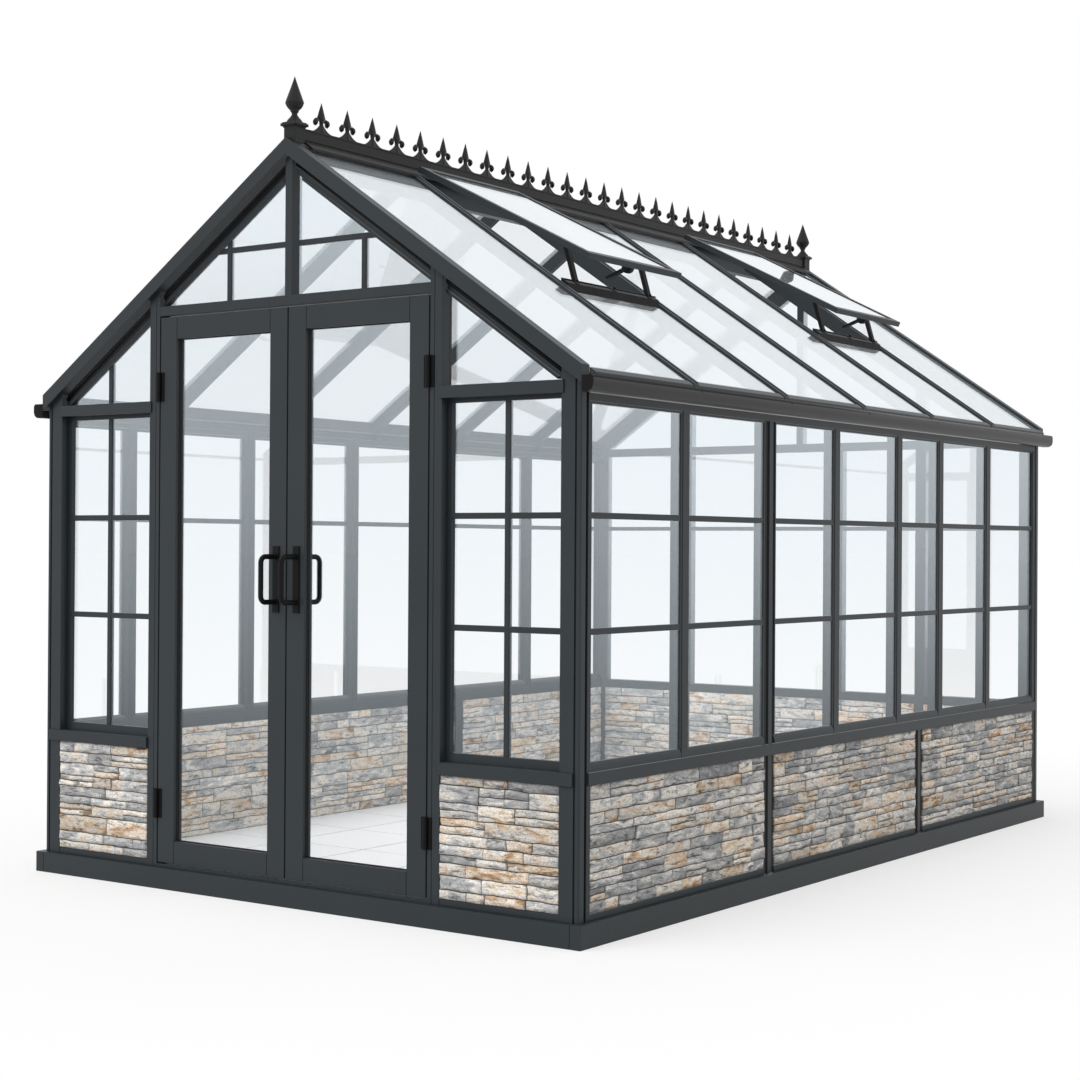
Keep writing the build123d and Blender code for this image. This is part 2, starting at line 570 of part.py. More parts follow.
# ---- hinges: the pin and end knuckles on the post, the middle knuckle on the leaf ----
pin_x = leaf_out + LEAF_GAP / 2
pin_y = leaf_front - HINGE_BARREL_RADIUS
knuckle = HINGE_LENGTH / 3


def barrel(z1, z2, radius):
    return Pos(pin_x, pin_y, z1) * Cylinder(radius, z2 - z1, align=(Align.CENTER, Align.CENTER, Align.MIN))


def hinge_plate(x1, x2, z1, z2):
    """A plate on the face, reaching in to the barrel."""
    return block(x1, x2, leaf_front - HINGE_PLATE_THICK, leaf_front, z1, z2)


clear_radius = HINGE_BARREL_RADIUS + KNUCKLE_GAP
fixed_halves = []
leaf_halves = []
for middle in HINGE_HEIGHTS:
    z1 = middle - HINGE_LENGTH / 2
    z2 = z1 + knuckle
    z3 = z2 + knuckle
    z4 = z3 + knuckle
    bore = barrel(z2, z3, HINGE_PIN_RADIUS + PIN_CLEARANCE)
    clear = barrel(z2 - KNUCKLE_GAP, z3 + KNUCKLE_GAP, clear_radius)
    pin = barrel(z1, z4, HINGE_PIN_RADIUS)
    post_plate = hinge_plate(pin_x + LEAF_GAP / 2, pin_x + LEAF_GAP / 2 + HINGE_PLATE, z1, z4)
    post_half = barrel(z1, z2 - KNUCKLE_GAP, HINGE_BARREL_RADIUS)
    post_half = post_half + barrel(z3 + KNUCKLE_GAP, z4, HINGE_BARREL_RADIUS) + pin
    fixed_halves.append(post_half + (post_plate - clear))
    leaf_plate = hinge_plate(pin_x - LEAF_GAP / 2 - HINGE_PLATE, pin_x - LEAF_GAP / 2, z1, z4)
    leaf_knuckle = barrel(z2, z3, HINGE_BARREL_RADIUS)
    ends = [barrel(z1, z2, clear_radius), barrel(z3, z4, clear_radius)]
    leaf_halves.append((leaf_knuckle + cut(leaf_plate, ends)) - bore)

for side, flip in (("right", lambda shape: shape), ("left", mirror_x)):
    save(f"{side}_door_frame", flip(leaf_frame))
    save(f"{side}_door_glass", flip(leaf_glass))
    save(f"{side}_door_handles", flip(outer_handle), flip(inner_handle))
    save(f"{side}_door_hinge_leaves", *[flip(half) for half in leaf_halves])
save("fixed_hinge_halves", *fixed_halves, *[mirror_x(half) for half in fixed_halves])
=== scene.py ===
import math
import random

import bmesh
import bpy
from mathutils import Matrix, Vector, noise


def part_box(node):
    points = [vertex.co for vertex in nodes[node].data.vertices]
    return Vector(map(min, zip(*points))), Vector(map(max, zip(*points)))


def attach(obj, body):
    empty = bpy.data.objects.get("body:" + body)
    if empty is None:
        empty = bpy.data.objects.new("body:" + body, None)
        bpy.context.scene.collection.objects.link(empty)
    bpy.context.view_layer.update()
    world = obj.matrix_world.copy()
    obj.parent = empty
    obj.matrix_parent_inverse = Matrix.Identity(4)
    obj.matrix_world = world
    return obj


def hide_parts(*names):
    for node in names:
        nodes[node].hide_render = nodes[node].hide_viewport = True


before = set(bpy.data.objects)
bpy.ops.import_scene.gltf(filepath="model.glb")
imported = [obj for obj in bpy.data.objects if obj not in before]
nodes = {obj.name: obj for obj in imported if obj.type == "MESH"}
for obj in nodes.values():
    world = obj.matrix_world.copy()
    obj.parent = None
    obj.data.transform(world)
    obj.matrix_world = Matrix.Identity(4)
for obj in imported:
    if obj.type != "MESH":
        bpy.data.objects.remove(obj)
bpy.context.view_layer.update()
scene = bpy.context.scene

# ---- Base frame ----
# Aluminium box section laid flat on the ground, powder coated in satin dark grey. A short piece closes
# each corner, with a fine seam beside it, and the whole house is bolted down to it.


class Value:
    """A socket that takes part in sums: each operator adds the node that works it out."""

    def __init__(self, tree, socket=None):
        self.tree = tree
        self.socket = socket

    def node(self, kind, settings=None, inputs=None, output=0):
        """Adds a node: its kind, its settings, then what feeds its sockets."""
        made = self.tree.nodes.new(kind)
        for name, setting in (settings or {}).items():
            if name == "stops":
                while len(made.color_ramp.elements) < len(setting):
                    made.color_ramp.elements.new(1)
                for element, (position, colour) in zip(made.color_ramp.elements, setting):
                    element.position = position
                    element.color = (*colour, 1)
            else:
                setattr(made, name, setting)
        feed(made, inputs or {})
        return Value(self.tree, made.outputs[output])

    def maths(self, operation, other):
        """Adds one sum of this socket and another or a number."""
        return self.node("ShaderNodeMath", {"operation": operation}, {0: self, 1: other})

    def __add__(self, other):
        return self.maths("ADD", other)

    def __sub__(self, other):
        return self.maths("SUBTRACT", other)

    def __mul__(self, other):
        return self.maths("MULTIPLY", other)


def feed(made, inputs):
    """Gives a node's sockets their numbers or links."""
    for name, value in inputs.items():
        if isinstance(value, Value):
            made.id_data.links.new(value.socket, made.inputs[name])
        else:
            made.inputs[name].default_value = value


def new_material(name):
    """A material's Principled shader, and the object coordinates that its patterns start from."""
    material = bpy.data.materials.new(name)
    material.use_nodes = True
    place = Value(material.node_tree).node("ShaderNodeTexCoord", output="Object")
    return material, material.node_tree.nodes["Principled BSDF"], place


def blend_colours(share, first, second):
    """A mix of two colours, each a triple or a Value."""
    first, second = [c if isinstance(c, Value) else (*c, 1) for c in (first, second)]
    return share.node("ShaderNodeMix", {"data_type": "RGBA"}, {0: share, 6: first, 7: second}, 2)


def cloud(place, scale, detail=2, **more):
    """Soft noise at so many waves a metre."""
    waves = {"Vector": place, "Scale": scale, "Detail": detail, **more}
    return place.node("ShaderNodeTexNoise", {}, waves)


def powder_coat(name, colour, roughness=0.42):
    """Baked satin paint: a fine even grain, faint unevenness, and edges that are a little rounded."""
    material, shader, place = new_material(name)
    broad = cloud(place, 2.3, 3)
    grain = cloud(place, 420, 1)
    paler = [c * 1.16 for c in colour]
    deeper = [c * 0.84 for c in colour]
    edge = place.node("ShaderNodeBevel", {"samples": 4}, {"Radius": 0.0026})
    skin = place.node("ShaderNodeBump", {}, {
        "Strength": 0.12, "Distance": 0.0004, "Height": grain, "Normal": edge})
    feed(shader, {"Base Color": blend_colours(broad, deeper, paler),
                  "Roughness": grain * 0.1 + (roughness - 0.05),
                  "Normal": skin, "Specular IOR Level": 0.27})
    return material


def dress(material, *names):
    """Gives CAD nodes their material."""
    for name in names:
        for slot in nodes[name].material_slots:
            slot.material = material


frame_paint = powder_coat("frame paint", (0.027, 0.034, 0.039))
base_paint = powder_coat("base paint", (0.026, 0.033, 0.037))
dress(base_paint, "base_front", "base_back", "base_sides")

# ---- Floor ----
# Large pale porcelain tiles on a bed, laid square with fine grey joints. The bed is the slab that the
# base frame holds, and the tiles stand a few millimetres proud of it.

TILES = (6, 9)               # across and along the room
TILE_JOINT = 0.009
TILE_THICK = 0.006
TILE_EDGE = 0.001


def add_bar(shape, low, high, place=Matrix()):
    """Adds a square-cut bar to a shape, from corner to corner, set in place by a matrix."""
    size = Vector(high) - Vector(low)
    middle = (Vector(high) + Vector(low)) / 2
    fit = Matrix.Translation(middle) @ Matrix.Diagonal((abs(size.x), abs(size.y), abs(size.z), 1))
    bmesh.ops.create_cube(shape, size=1, matrix=place @ fit)


def make_piece(shape, name, material, edge=0.0, smooth=False):
    """Breaks a shape's edges, turns its faces outwards and makes it an object."""
    if edge:
        bmesh.ops.bevel(shape, geom=list(shape.edges), offset=edge, segments=1, affect="EDGES")
    bmesh.ops.recalc_face_normals(shape, faces=list(shape.faces))
    mesh = bpy.data.meshes.new(name)
    shape.to_mesh(mesh)
    shape.free()
    mesh.polygons.foreach_set("use_smooth", [smooth] * len(mesh.polygons))
    mesh.materials.append(material)
    piece = bpy.data.objects.new(name, mesh)
    scene.collection.objects.link(piece)
    return piece


def repeat_tree():
    """Geometry Nodes that set out copies of a shape in rows. Counts, first place and steps are inputs."""
    tree = bpy.data.node_groups.new("rows of a shape", "GeometryNodeTree")
    for name, kind in (("Shape", "Object"), ("Start", "Vector"), ("Count", "Int"), ("Step", "Vector"),
                       ("Rows", "Int"), ("Row Step", "Vector"), ("Material", "Material")):
        tree.interface.new_socket(name, in_out="INPUT", socket_type=f"NodeSocket{kind}")
    tree.interface.new_socket("Geometry", in_out="OUTPUT", socket_type="NodeSocketGeometry")
    given = tree.nodes.new("NodeGroupInput")
    asked = {socket.name: Value(tree, socket) for socket in given.outputs if socket.name}
    start = Value(tree)
    shape = start.node("GeometryNodeObjectInfo", {}, {"Object": asked["Shape"]}, "Geometry")
    row_points = start.node("GeometryNodeMeshLine", {}, {
        "Count": asked["Count"], "Start Location": asked["Start"], "Offset": asked["Step"]})
    row = start.node("GeometryNodeInstanceOnPoints", {}, {"Points": row_points, "Instance": shape})
    row_places = start.node("GeometryNodeMeshLine", {},
                            {"Count": asked["Rows"], "Offset": asked["Row Step"]})
    rows = start.node("GeometryNodeInstanceOnPoints", {}, {"Points": row_places, "Instance": row})
    solid = start.node("GeometryNodeRealizeInstances", {}, {"Geometry": rows})
    painted = start.node("GeometryNodeSetMaterial", {}, {"Geometry": solid, "Material": asked["Material"]})
    feed(tree.nodes.new("NodeGroupOutput"), {0: painted})
    return tree


rows_of = repeat_tree()


def set_out(sample, start, count, step, material, rows=1, row_step=(0, 0, 0)):
    """Copies of a sample object in rows, as one plain mesh."""
    holder = bpy.data.objects.new("holder", bpy.data.meshes.new("holder"))
    scene.collection.objects.link(holder)
    modifier = holder.modifiers.new("rows", "NODES")
    wanted = {"Shape": sample, "Start": start, "Count": count, "Step": step, "Rows": rows,
              "Row Step": row_step, "Material": material}
    modifier.node_group = rows_of
    for item in rows_of.interface.items_tree:
        if item.in_out == "INPUT":
            modifier[item.identifier] = wanted[item.name]
    mesh = bpy.data.meshes.new_from_object(holder.evaluated_get(bpy.context.evaluated_depsgraph_get()))
    bpy.data.objects.remove(holder)
    return mesh


def join_meshes(name, meshes):
    """Several plain meshes as one object."""
    shape = bmesh.new()
    for mesh in meshes:
        shape.from_mesh(mesh)
    joined = bpy.data.meshes.new(name)
    shape.to_mesh(joined)
    shape.free()
    joined.materials.append(meshes[0].materials[0])
    piece = bpy.data.objects.new(name, joined)
    scene.collection.objects.link(piece)
    return piece


def tile_glaze(name):
    """Matt porcelain: pale grey with soft long clouds, no two tiles quite alike."""
    material, shader, place = new_material(name)
    stretched = place.node("ShaderNodeMapping", {}, {"Vector": place, "Scale": (1.5, 5, 1)})
    veins = cloud(stretched, 2.2, 4, Distortion=1.2)
    feed(shader, {"Base Color": blend_colours(veins, (0.90, 0.92, 0.94), (0.97, 0.97, 0.98)),
                  "Roughness": veins * 0.2 + 0.35})
    return material


def grout(name, colour):
    """Dry mortar, sandy and uneven."""
    material, shader, place = new_material(name)
    sand = cloud(place, 260, 3)
    skin = place.node("ShaderNodeBump", {}, {"Strength": 0.5, "Distance": 0.001, "Height": sand})
    feed(shader, {"Base Color": blend_colours(sand, [c * 0.7 for c in colour], [c * 1.3 for c in colour]),
                  "Roughness": 0.95, "Normal": skin})
    return material


floor_low, floor_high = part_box("floor")
dress(grout("tile joints", (0.16, 0.17, 0.18)), "floor")
tile_x = (floor_high.x - floor_low.x) / TILES[0]
tile_y = (floor_high.y - floor_low.y) / TILES[1]
tile_finish = tile_glaze("floor tile")
tile_shape = bmesh.new()
add_bar(tile_shape, (TILE_JOINT / 2, TILE_JOINT / 2, 0),
        (tile_x - TILE_JOINT / 2, tile_y - TILE_JOINT / 2, TILE_THICK))
tile_sample = make_piece(tile_shape, "tile_sample", tile_finish, edge=TILE_EDGE)
floor_tiles = join_meshes("floor_tiles", [set_out(
    tile_sample, (floor_low.x, floor_low.y, floor_high.z), TILES[0], (tile_x, 0, 0), tile_finish,
    TILES[1], (0, tile_y, 0))])
bpy.data.objects.remove(tile_sample)
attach(floor_tiles, "root")

# ---- Corner, door and wall posts, rails, beams ----
# Extruded aluminium in the same satin dark grey. They come as CAD nodes, with their grooves and recesses.
# Black strips at the bottoms of the main side posts' recesses are painted shade in them.

dress(frame_paint, "corner_posts", "door_posts", "door_head", "threshold", "back_wall_posts",
      "right_wall_posts", "left_wall_posts", "side_dado_rails", "end_dado_rails", "transoms",
      "front_window_frames", "king_posts", "front_gable_rafters", "back_gable_rafters", "ridge_beam")

corner_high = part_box("corner_posts")[1]
base_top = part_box("base_front")[1].z
WALL_X = corner_high.x
WALL_Y = corner_high.y
WALL_DEPTH = 0.050
INNER_X = WALL_X - WALL_DEPTH
INNER_Y = WALL_Y - WALL_DEPTH
DADO_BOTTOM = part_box("side_dado_rails")[0].z
DADO_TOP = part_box("side_dado_rails")[1].z
EAVE_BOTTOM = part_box("eave_beams")[0].z
MAIN_POST = 0.074
POST = 0.040
MAIN_POSTS = (-0.680, 0.595)         # the short posts between stone panels, on both sides
RIGHT_POSTS = ((-1.270, POST), (-0.680, MAIN_POST), (-0.155, POST), (0.400, POST), (0.805, POST),
               (1.310, POST))
LEFT_HALF_BAYS = 11          # the bay nearest the front is a half one
LEFT_POSTS = tuple((-INNER_Y + (2 * k + 1) * 2 * INNER_Y / LEFT_HALF_BAYS, POST) for k in range(5))


def rubber(name):
    """Dull black, a little chalky in places: real rubber, and painted shade where it lines recesses."""
    material, shader, place = new_material(name)
    bloom = cloud(place, 80, 2)
    feed(shader, {"Base Color": blend_colours(bloom, (0.004, 0.004, 0.004), (0.009, 0.009, 0.009)),
                  "Roughness": 0.8})
    return material


black_rubber_and_shade = rubber("black rubber and shade")
STRIP = 0.024                # the proud strip down the middle of a main post
RECESS = 0.025
SHADE_THICK = 0.002
# Black strips at the bottoms of the main posts' recesses: painted shade in them.
recess_shade = bmesh.new()
for side in (-1, 1):
    posts = [(y, base_top, DADO_BOTTOM, WALL_X - RECESS) for y in MAIN_POSTS]
    if side > 0:
        posts.append((MAIN_POSTS[0], DADO_TOP, EAVE_BOTTOM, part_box("right_glass")[1].x))
    for y, low, high, floor_x in posts:
        for half in (-1, 1):
            near, far = sorted((y + half * STRIP / 2, y + half * MAIN_POST / 2))
            add_bar(recess_shade, (side * floor_x, near, low), (side * (floor_x + SHADE_THICK), far, high))
post_seals = make_piece(recess_shade, "post_seals", black_rubber_and_shade)
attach(post_seals, "root")

# ---- Inner ribs of the side posts ----
# Each side post is an extrusion with a narrow rib down the middle of its inner face, where shelf brackets
# can be clipped. The ribs run from the dado rail to the eave beam.

RIB = 0.014
RIB_PROUD = 0.006
ribs = bmesh.new()
for side, posts in ((1, RIGHT_POSTS), (-1, LEFT_POSTS)):
    for y, width in posts:
        add_bar(ribs, (side * (INNER_X - RIB_PROUD), y - RIB / 2, DADO_TOP),
                (side * INNER_X, y + RIB / 2, EAVE_BOTTOM))
post_ribs = make_piece(ribs, "post_ribs", frame_paint, edge=0.001)
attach(post_ribs, "root")

# ---- Stone cladding ----
# Split ledger stone in grey, beige and tan, glued in courses to both faces of the dwarf walls' cores.
# Stones differ in length and in how far they stand out, and thin dark joints show between them. Each
# stone's rims, sides and cracks are painted darker, as shade.

STONE_COURSES = 10
STONE_JOINT = 0.0010
STONE_EDGE = 0.0018          # broken edge round each face
STONE_LENGTHS = (0.07, 0.27)
STONE_PROUD = 0.0055         # how far the proudest stones stand past the flattest
STONE_LEAN = 0.0012          # and how far a stone may lean out at one end
TALL_COURSE = 0.040          # a taller course may have two thin stones in place of one
HALVED = 0.35                # share of a tall course's stones that are so
GRID_ALONG = 0.014           # the split face is shaped on a grid of this size
GRID_UP = 0.013
WANDER = 0.0036              # how far its lines stray sideways
STRAIGHT = 0.012             # and the strip round a panel where they stray less
SWELL = 0.0042               # and how far its broad and fine lumps stand out
LUMP = 0.0026
RIM = 0.0040
CLEAR = 0.014                # bead beside the corner posts


def ledger_stone(name):
    """Split quartzite: grey clouds that turn to cream and tan, dark streaks along the bed, gritty skin.
    The cracks and each stone's rims and sides are painted darker, as shade in them.
    """
    material, shader, place = new_material(name)
    stone = place.node("ShaderNodeAttribute", {"attribute_name": "stone"}, output="Vector")
    warmth, light, face = [place.node("ShaderNodeSeparateXYZ", {}, {"Vector": stone}, k) for k in range(3)]
    offset = place.node("ShaderNodeCombineXYZ", {}, {"X": warmth, "Y": light, "Z": warmth + light})
    shifted = place.node("ShaderNodeVectorMath", {"operation": "MULTIPLY_ADD"}, {
        0: offset, 1: (31, 17, 23), 2: place})
    broad = place.node("ShaderNodeMapping", {}, {"Vector": shifted, "Scale": (9, 9, 26)})
    thin = place.node("ShaderNodeMapping", {}, {"Vector": shifted, "Scale": (16, 16, 62)})
    clouds = cloud(broad, 1.0, 5, Roughness=0.6, Distortion=0.9)
    streaks = cloud(thin, 1.0, 4, Roughness=0.65, Distortion=0.6)
    grit = cloud(shifted, 150, 4, Roughness=0.7)
    tint = place.node("ShaderNodeValToRGB", {"stops": [
        (0.00, (0.300, 0.304, 0.312)), (0.32, (0.520, 0.518, 0.515)), (0.50, (0.790, 0.755, 0.705)),
        (0.68, (0.780, 0.670, 0.550)), (0.86, (0.640, 0.470, 0.330)), (1.00, (0.400, 0.260, 0.155))]},
        {"Fac": warmth * 0.54 + (clouds - 0.5) * 1.9 + 0.20})
    dark = place.node("ShaderNodeMapRange", {}, {
        "Value": streaks, "From Min": 0.33, "From Max": 0.46, "To Min": 0.30, "To Max": 1.0})
    veins = place.node("ShaderNodeTexVoronoi", {"feature": "DISTANCE_TO_EDGE"}, {
        "Vector": broad, "Scale": 2.4})
    # The cracks sink in the bump and are painted darker as well: painted shade in them.
    crack_shade = place.node("ShaderNodeMapRange", {}, {
        "Value": veins, "From Min": 0.0, "From Max": 0.022, "To Min": 0.50, "To Max": 1.0})
    shade = dark * crack_shade * (light * 0.42 + 0.90) * (grit * 1.2 + 0.40)
    toned = place.node("ShaderNodeMix", {"data_type": "RGBA", "blend_type": "MULTIPLY"}, {
        0: 1.0, 6: tint, 7: shade}, 2)
    height = streaks * 1.1 + clouds * 0.6 + grit * 0.45 + crack_shade * 0.25
    skin = place.node("ShaderNodeBump", {}, {"Strength": 0.8, "Distance": 0.008, "Height": height})
    # Where the attribute's third value falls, on a stone's rims and sides, the dark colour is painted shade
    # in the joints.
    feed(shader, {"Base Color": blend_colours(face, (0.075, 0.060, 0.048), toned), "Roughness": 0.9,
                  "Normal": skin, "Specular IOR Level": 0.25})
    return material


def spread(size, step):
    """Grid lines over a stone's face: one close to each edge, the rest evenly between."""
    count = max(1, round(size / step))
    inner = [STONE_EDGE + (size - 2 * STONE_EDGE) * k / count for k in range(count + 1)]
    return [0] + inner + [size]


def add_stone(shape, layer, corner, along, out, length, height, proud, tone, panel):
    """Adds one split stone: a rough face with broken edges, and sides that run back into the core."""
    start, end, foot, top = panel
    lean = random.uniform(-STONE_LEAN, STONE_LEAN)
    grid = []
    for up in spread(height, GRID_UP):
        line = []
        for reach in spread(length, GRID_ALONG):
            spot = corner + along * reach + Vector((0, 0, up))
            rim = up in (0, height) or reach in (0, length)
            inset = min(spot.dot(along) - start, end - spot.dot(along), spot.z - foot, top - spot.z)
            wander = WANDER * min(1.0, max(0.0, inset / STRAIGHT))
            shift = along * (wander * noise.noise(spot * 21))
            shift.z += wander * noise.noise(spot * 15 + out)
            relief = SWELL * noise.noise(spot * 34) + LUMP * noise.noise(spot * 90) - (RIM if rim else 0)
            relief += lean * (2 * reach / length - 1)
            vert = shape.verts.new(spot + shift + out * max(0.001, proud + relief))
            # Third value: 1 on the face, 0.4 on the end rims, 0 along the top and bottom edges: painted
            # shade at the joints.
            vert[layer] = (*tone, 0.0 if up in (0, height) else 0.4 if rim else 1.0, 1.0)
            line.append(vert)
        grid.append(line)
    faces = []
    for low, high in zip(grid, grid[1:]):
        for column in range(len(low) - 1):
            faces.append((low[column], low[column + 1], high[column + 1], high[column]))
    rim = grid[0] + [line[-1] for line in grid[1:]] + grid[-1][-2::-1] + [line[0] for line in grid[-2:0:-1]]
    back = [shape.verts.new(vert.co - out * ((vert.co - corner).dot(out) + 0.001)) for vert in rim]
    for k in range(len(rim)):
        # The sides take 0 as well, so they are painted dark as shade in the joints.
        back[k][layer] = (*tone, 0.0, 1.0)
        faces.append((rim[k - 1], back[k - 1], back[k], rim[k]))
    faces.append(back[::-1])
    faces_out = along.cross(Vector((0, 0, 1))).dot(out) > 0
    for face in faces:
        shape.faces.new(face if faces_out else face[::-1])


def lay_panel(shape, layer, corner, along, out, length, height, proudest):
    """Adds the stones of one panel, course by course."""
    weights = [random.uniform(0.60, 1.40) for _ in range(STONE_COURSES)]
    start = corner.dot(along)
    panel = (start, start + length, corner.z, corner.z + height)
    level = 0.0
    for weight in weights:
        course = height * weight / sum(weights)
        reach = 0.0
        while reach < length - 0.001:
            size = random.uniform(*STONE_LENGTHS)
            if length - reach - size < STONE_LENGTHS[0]:
                size = length - reach
            halves = 2 if course > TALL_COURSE and random.random() < HALVED else 1
            for half in range(halves):
                tone = (random.random(), random.random())
                proud = proudest - random.uniform(0.0, STONE_PROUD)
                foot = corner + along * (reach + STONE_JOINT / 2)
                foot = foot + Vector((0, 0, level + course * half / halves + STONE_JOINT / 2))
                add_stone(shape, layer, foot, along, out, size - STONE_JOINT, course / halves - STONE_JOINT,
                          proud, tone, panel)
            reach += size
        level += course


def clad(name, panels):
    """One wall's cladding, from its panels: corner, directions along and out, length, and how proud."""
    shape = bmesh.new()
    layer = shape.verts.layers.float_color.new("stone")
    for corner, along, out, length, proudest in panels:
        height = DADO_BOTTOM - corner[2]
        lay_panel(shape, layer, Vector(corner), Vector(along), Vector(out), length, height, proudest)
    return make_piece(shape, name, stone_finish, smooth=True)


stone_finish = ledger_stone("ledger stone")
FOOT_RAIL = 0.022
OUTER_PROUD = 0.0120
ROOM_PROUD = 0.0180          # the inner stones run down over the base frame to the floor
stone_foot = base_top + FOOT_RAIL
room_foot = floor_high.z + TILE_THICK
dress(grout("stone joints", (0.060, 0.048, 0.040)),
      "front_stone_panels", "right_stone_panels", "left_stone_panels", "back_stone_panels")
core_low, core_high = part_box("right_stone_panels")
joins = [-INNER_Y + CLEAR, MAIN_POSTS[0] - MAIN_POST / 2, MAIN_POSTS[0] + MAIN_POST / 2,
         MAIN_POSTS[1] - MAIN_POST / 2, MAIN_POSTS[1] + MAIN_POST / 2, INNER_Y - CLEAR]
walls = {}
for side, name in ((1, "right_stones"), (-1, "left_stones")):
    walls[name] = []
    for start, end in zip(joins[::2], joins[1::2]):
        for x, foot, out, proud in ((core_high.x, stone_foot, side, OUTER_PROUD),
                                    (core_low.x, room_foot, -side, ROOM_PROUD)):
            walls[name].append(((side * x, start, foot), (0, 1, 0), (out, 0, 0), end - start, proud))
front_low, front_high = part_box("front_stone_panels")
back_low, back_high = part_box("back_stone_panels")
BACK_POST = 0.050
end_x = front_high.x
door_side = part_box("door_posts")[1].x
back_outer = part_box("back_wall_posts")[1].x
back_inner = back_outer - BACK_POST
front_spans = ((-end_x, -door_side), (door_side, end_x))
back_spans = ((-end_x, -back_outer), (-back_inner, back_inner), (back_outer, end_x))
for name, outer_y, inner_y, sign, spans in (("front_stones", front_low.y, front_high.y, -1, front_spans),
                                            ("back_stones", back_high.y, back_low.y, 1, back_spans)):
    walls[name] = []
    for start, end in spans:
        for y, foot, out, proud in ((outer_y, stone_foot, sign, OUTER_PROUD),
                                    (inner_y, room_foot, -sign, ROOM_PROUD)):
            walls[name].append(((start, y, foot), (1, 0, 0), (0, out, 0), end - start, proud))
random.seed(11)
stone_pieces = [clad(name, panels) for name, panels in walls.items()]
for stones in stone_pieces:
    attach(stones, "root")

# ---- Rails under the stones ----
# A thin aluminium rail closes the foot of each panel outside, between the posts, and an upright bead covers
# the end of the stones beside each corner post.

FACE_GAP = 0.001             # beads and rails stop just short of the wall's face
RAIL_DEEP = 0.009
foot_rails = bmesh.new()
for side in (-1, 1):
    for start, end in zip([-INNER_Y] + joins[2::2], joins[1:-1:2] + [INNER_Y]):
        add_bar(foot_rails, (side * core_high.x, start, base_top),
                (side * (WALL_X - FACE_GAP), end, stone_foot))
    for y in (-INNER_Y, INNER_Y - CLEAR):
        for x1, x2 in ((INNER_X, core_low.x), (core_high.x, WALL_X - FACE_GAP)):
            add_bar(foot_rails, (side * x1, y, stone_foot), (side * x2, y + CLEAR, DADO_BOTTOM))
for sign, spans in ((-1, front_spans), (1, back_spans)):
    for start, end in spans:
        add_bar(foot_rails, (start, sign * (WALL_Y - RAIL_DEEP), base_top),
                (end, sign * (WALL_Y - FACE_GAP), stone_foot))
foot_rails = make_piece(foot_rails, "foot_rails", frame_paint, edge=0.001)
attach(foot_rails, "root")

# ---- Window bars ----
# Slim aluminium bars divide the windows. They run across in two rows on the front and right walls and in
# one row on the left and back walls, with an upright bar in each front side window. They hold the panes.

BAR = 0.020
BAR_ROWS = (1.342, 0.978)
BAR_PROUD = 0.006
UPRIGHT_PROUD = 0.001        # past the level bars
UPRIGHT = 0.920
BACK_UPRIGHT = 0.218         # the back wall's two middle posts
RING_AT_CORNER = 0.020       # the window frames' widths
RING_AT_DOOR = 0.019
RING_FOOT = 0.030
RING_HEAD = 0.015
side_glass_low, side_glass_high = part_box("right_glass")
front_glass_low, front_glass_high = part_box("front_glass")
transom_low, transom_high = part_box("transoms")


def spans_between(posts, end):
    """The openings between a row of posts."""
    edges = [-end]
    for middle, width in posts:
        edges += [middle - width / 2, middle + width / 2]
    edges.append(end)
    return list(zip(edges[::2], edges[1::2]))


right_windows = spans_between(RIGHT_POSTS, INNER_Y)
left_windows = spans_between(LEFT_POSTS, INNER_Y)
bars = bmesh.new()
bar_inside = side_glass_low.x - BAR_PROUD
bar_outside = side_glass_high.x + BAR_PROUD
for side, windows, levels in ((1, right_windows, BAR_ROWS), (-1, left_windows, BAR_ROWS[:1])):
    for level in levels:
        for start, end in windows:
            add_bar(bars, (side * bar_inside, start, level - BAR / 2),
                    (side * bar_outside, end, level + BAR / 2))
bar_near = front_glass_low.y - BAR_PROUD
bar_far = front_glass_high.y + BAR_PROUD
front_panes = ((-end_x + RING_AT_CORNER, -door_side - RING_AT_DOOR),
               (door_side + RING_AT_DOOR, end_x - RING_AT_CORNER))
for start, end in front_panes:
    for level in BAR_ROWS:
        add_bar(bars, (start, bar_near, level - BAR / 2), (end, bar_far, level + BAR / 2))
    middle = math.copysign(UPRIGHT, start)
    add_bar(bars, (middle - BAR / 2, bar_near - UPRIGHT_PROUD, DADO_TOP + RING_FOOT),
            (middle + BAR / 2, bar_far + UPRIGHT_PROUD, transom_low.z - RING_HEAD))
back_middle = (back_outer + back_inner) / 2
back_posts = ((-back_middle, BACK_POST), (-BACK_UPRIGHT, POST), (BACK_UPRIGHT, POST),
              (back_middle, BACK_POST))
for start, end in spans_between(back_posts, end_x):
    add_bar(bars, (start, -bar_far, BAR_ROWS[0] - BAR / 2), (end, -bar_near, BAR_ROWS[0] + BAR / 2))
window_bars = make_piece(bars, "window_bars", frame_paint, edge=0.0015)
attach(window_bars, "root")

# ---- Window sills and beads ----
# A sloping bead sits on the dado rail under each window and sheds the rain, and slim square beads clip
# the panes in on the other three sides, inside and out.

SILL = 0.030
BEAD = 0.008
BEAD_INSIDE = 0.010
BEAD_OUTSIDE = 0.008


def skin_over(shape, rings):
    """Joins rings of points into a closed skin, with a flat face on each end."""
    for lower, upper in zip(rings, rings[1:]):
        for k in range(len(lower)):
            shape.faces.new((lower[k - 1], lower[k], upper[k], upper[k - 1]))
    shape.faces.new(rings[0])
    shape.faces.new(rings[-1])


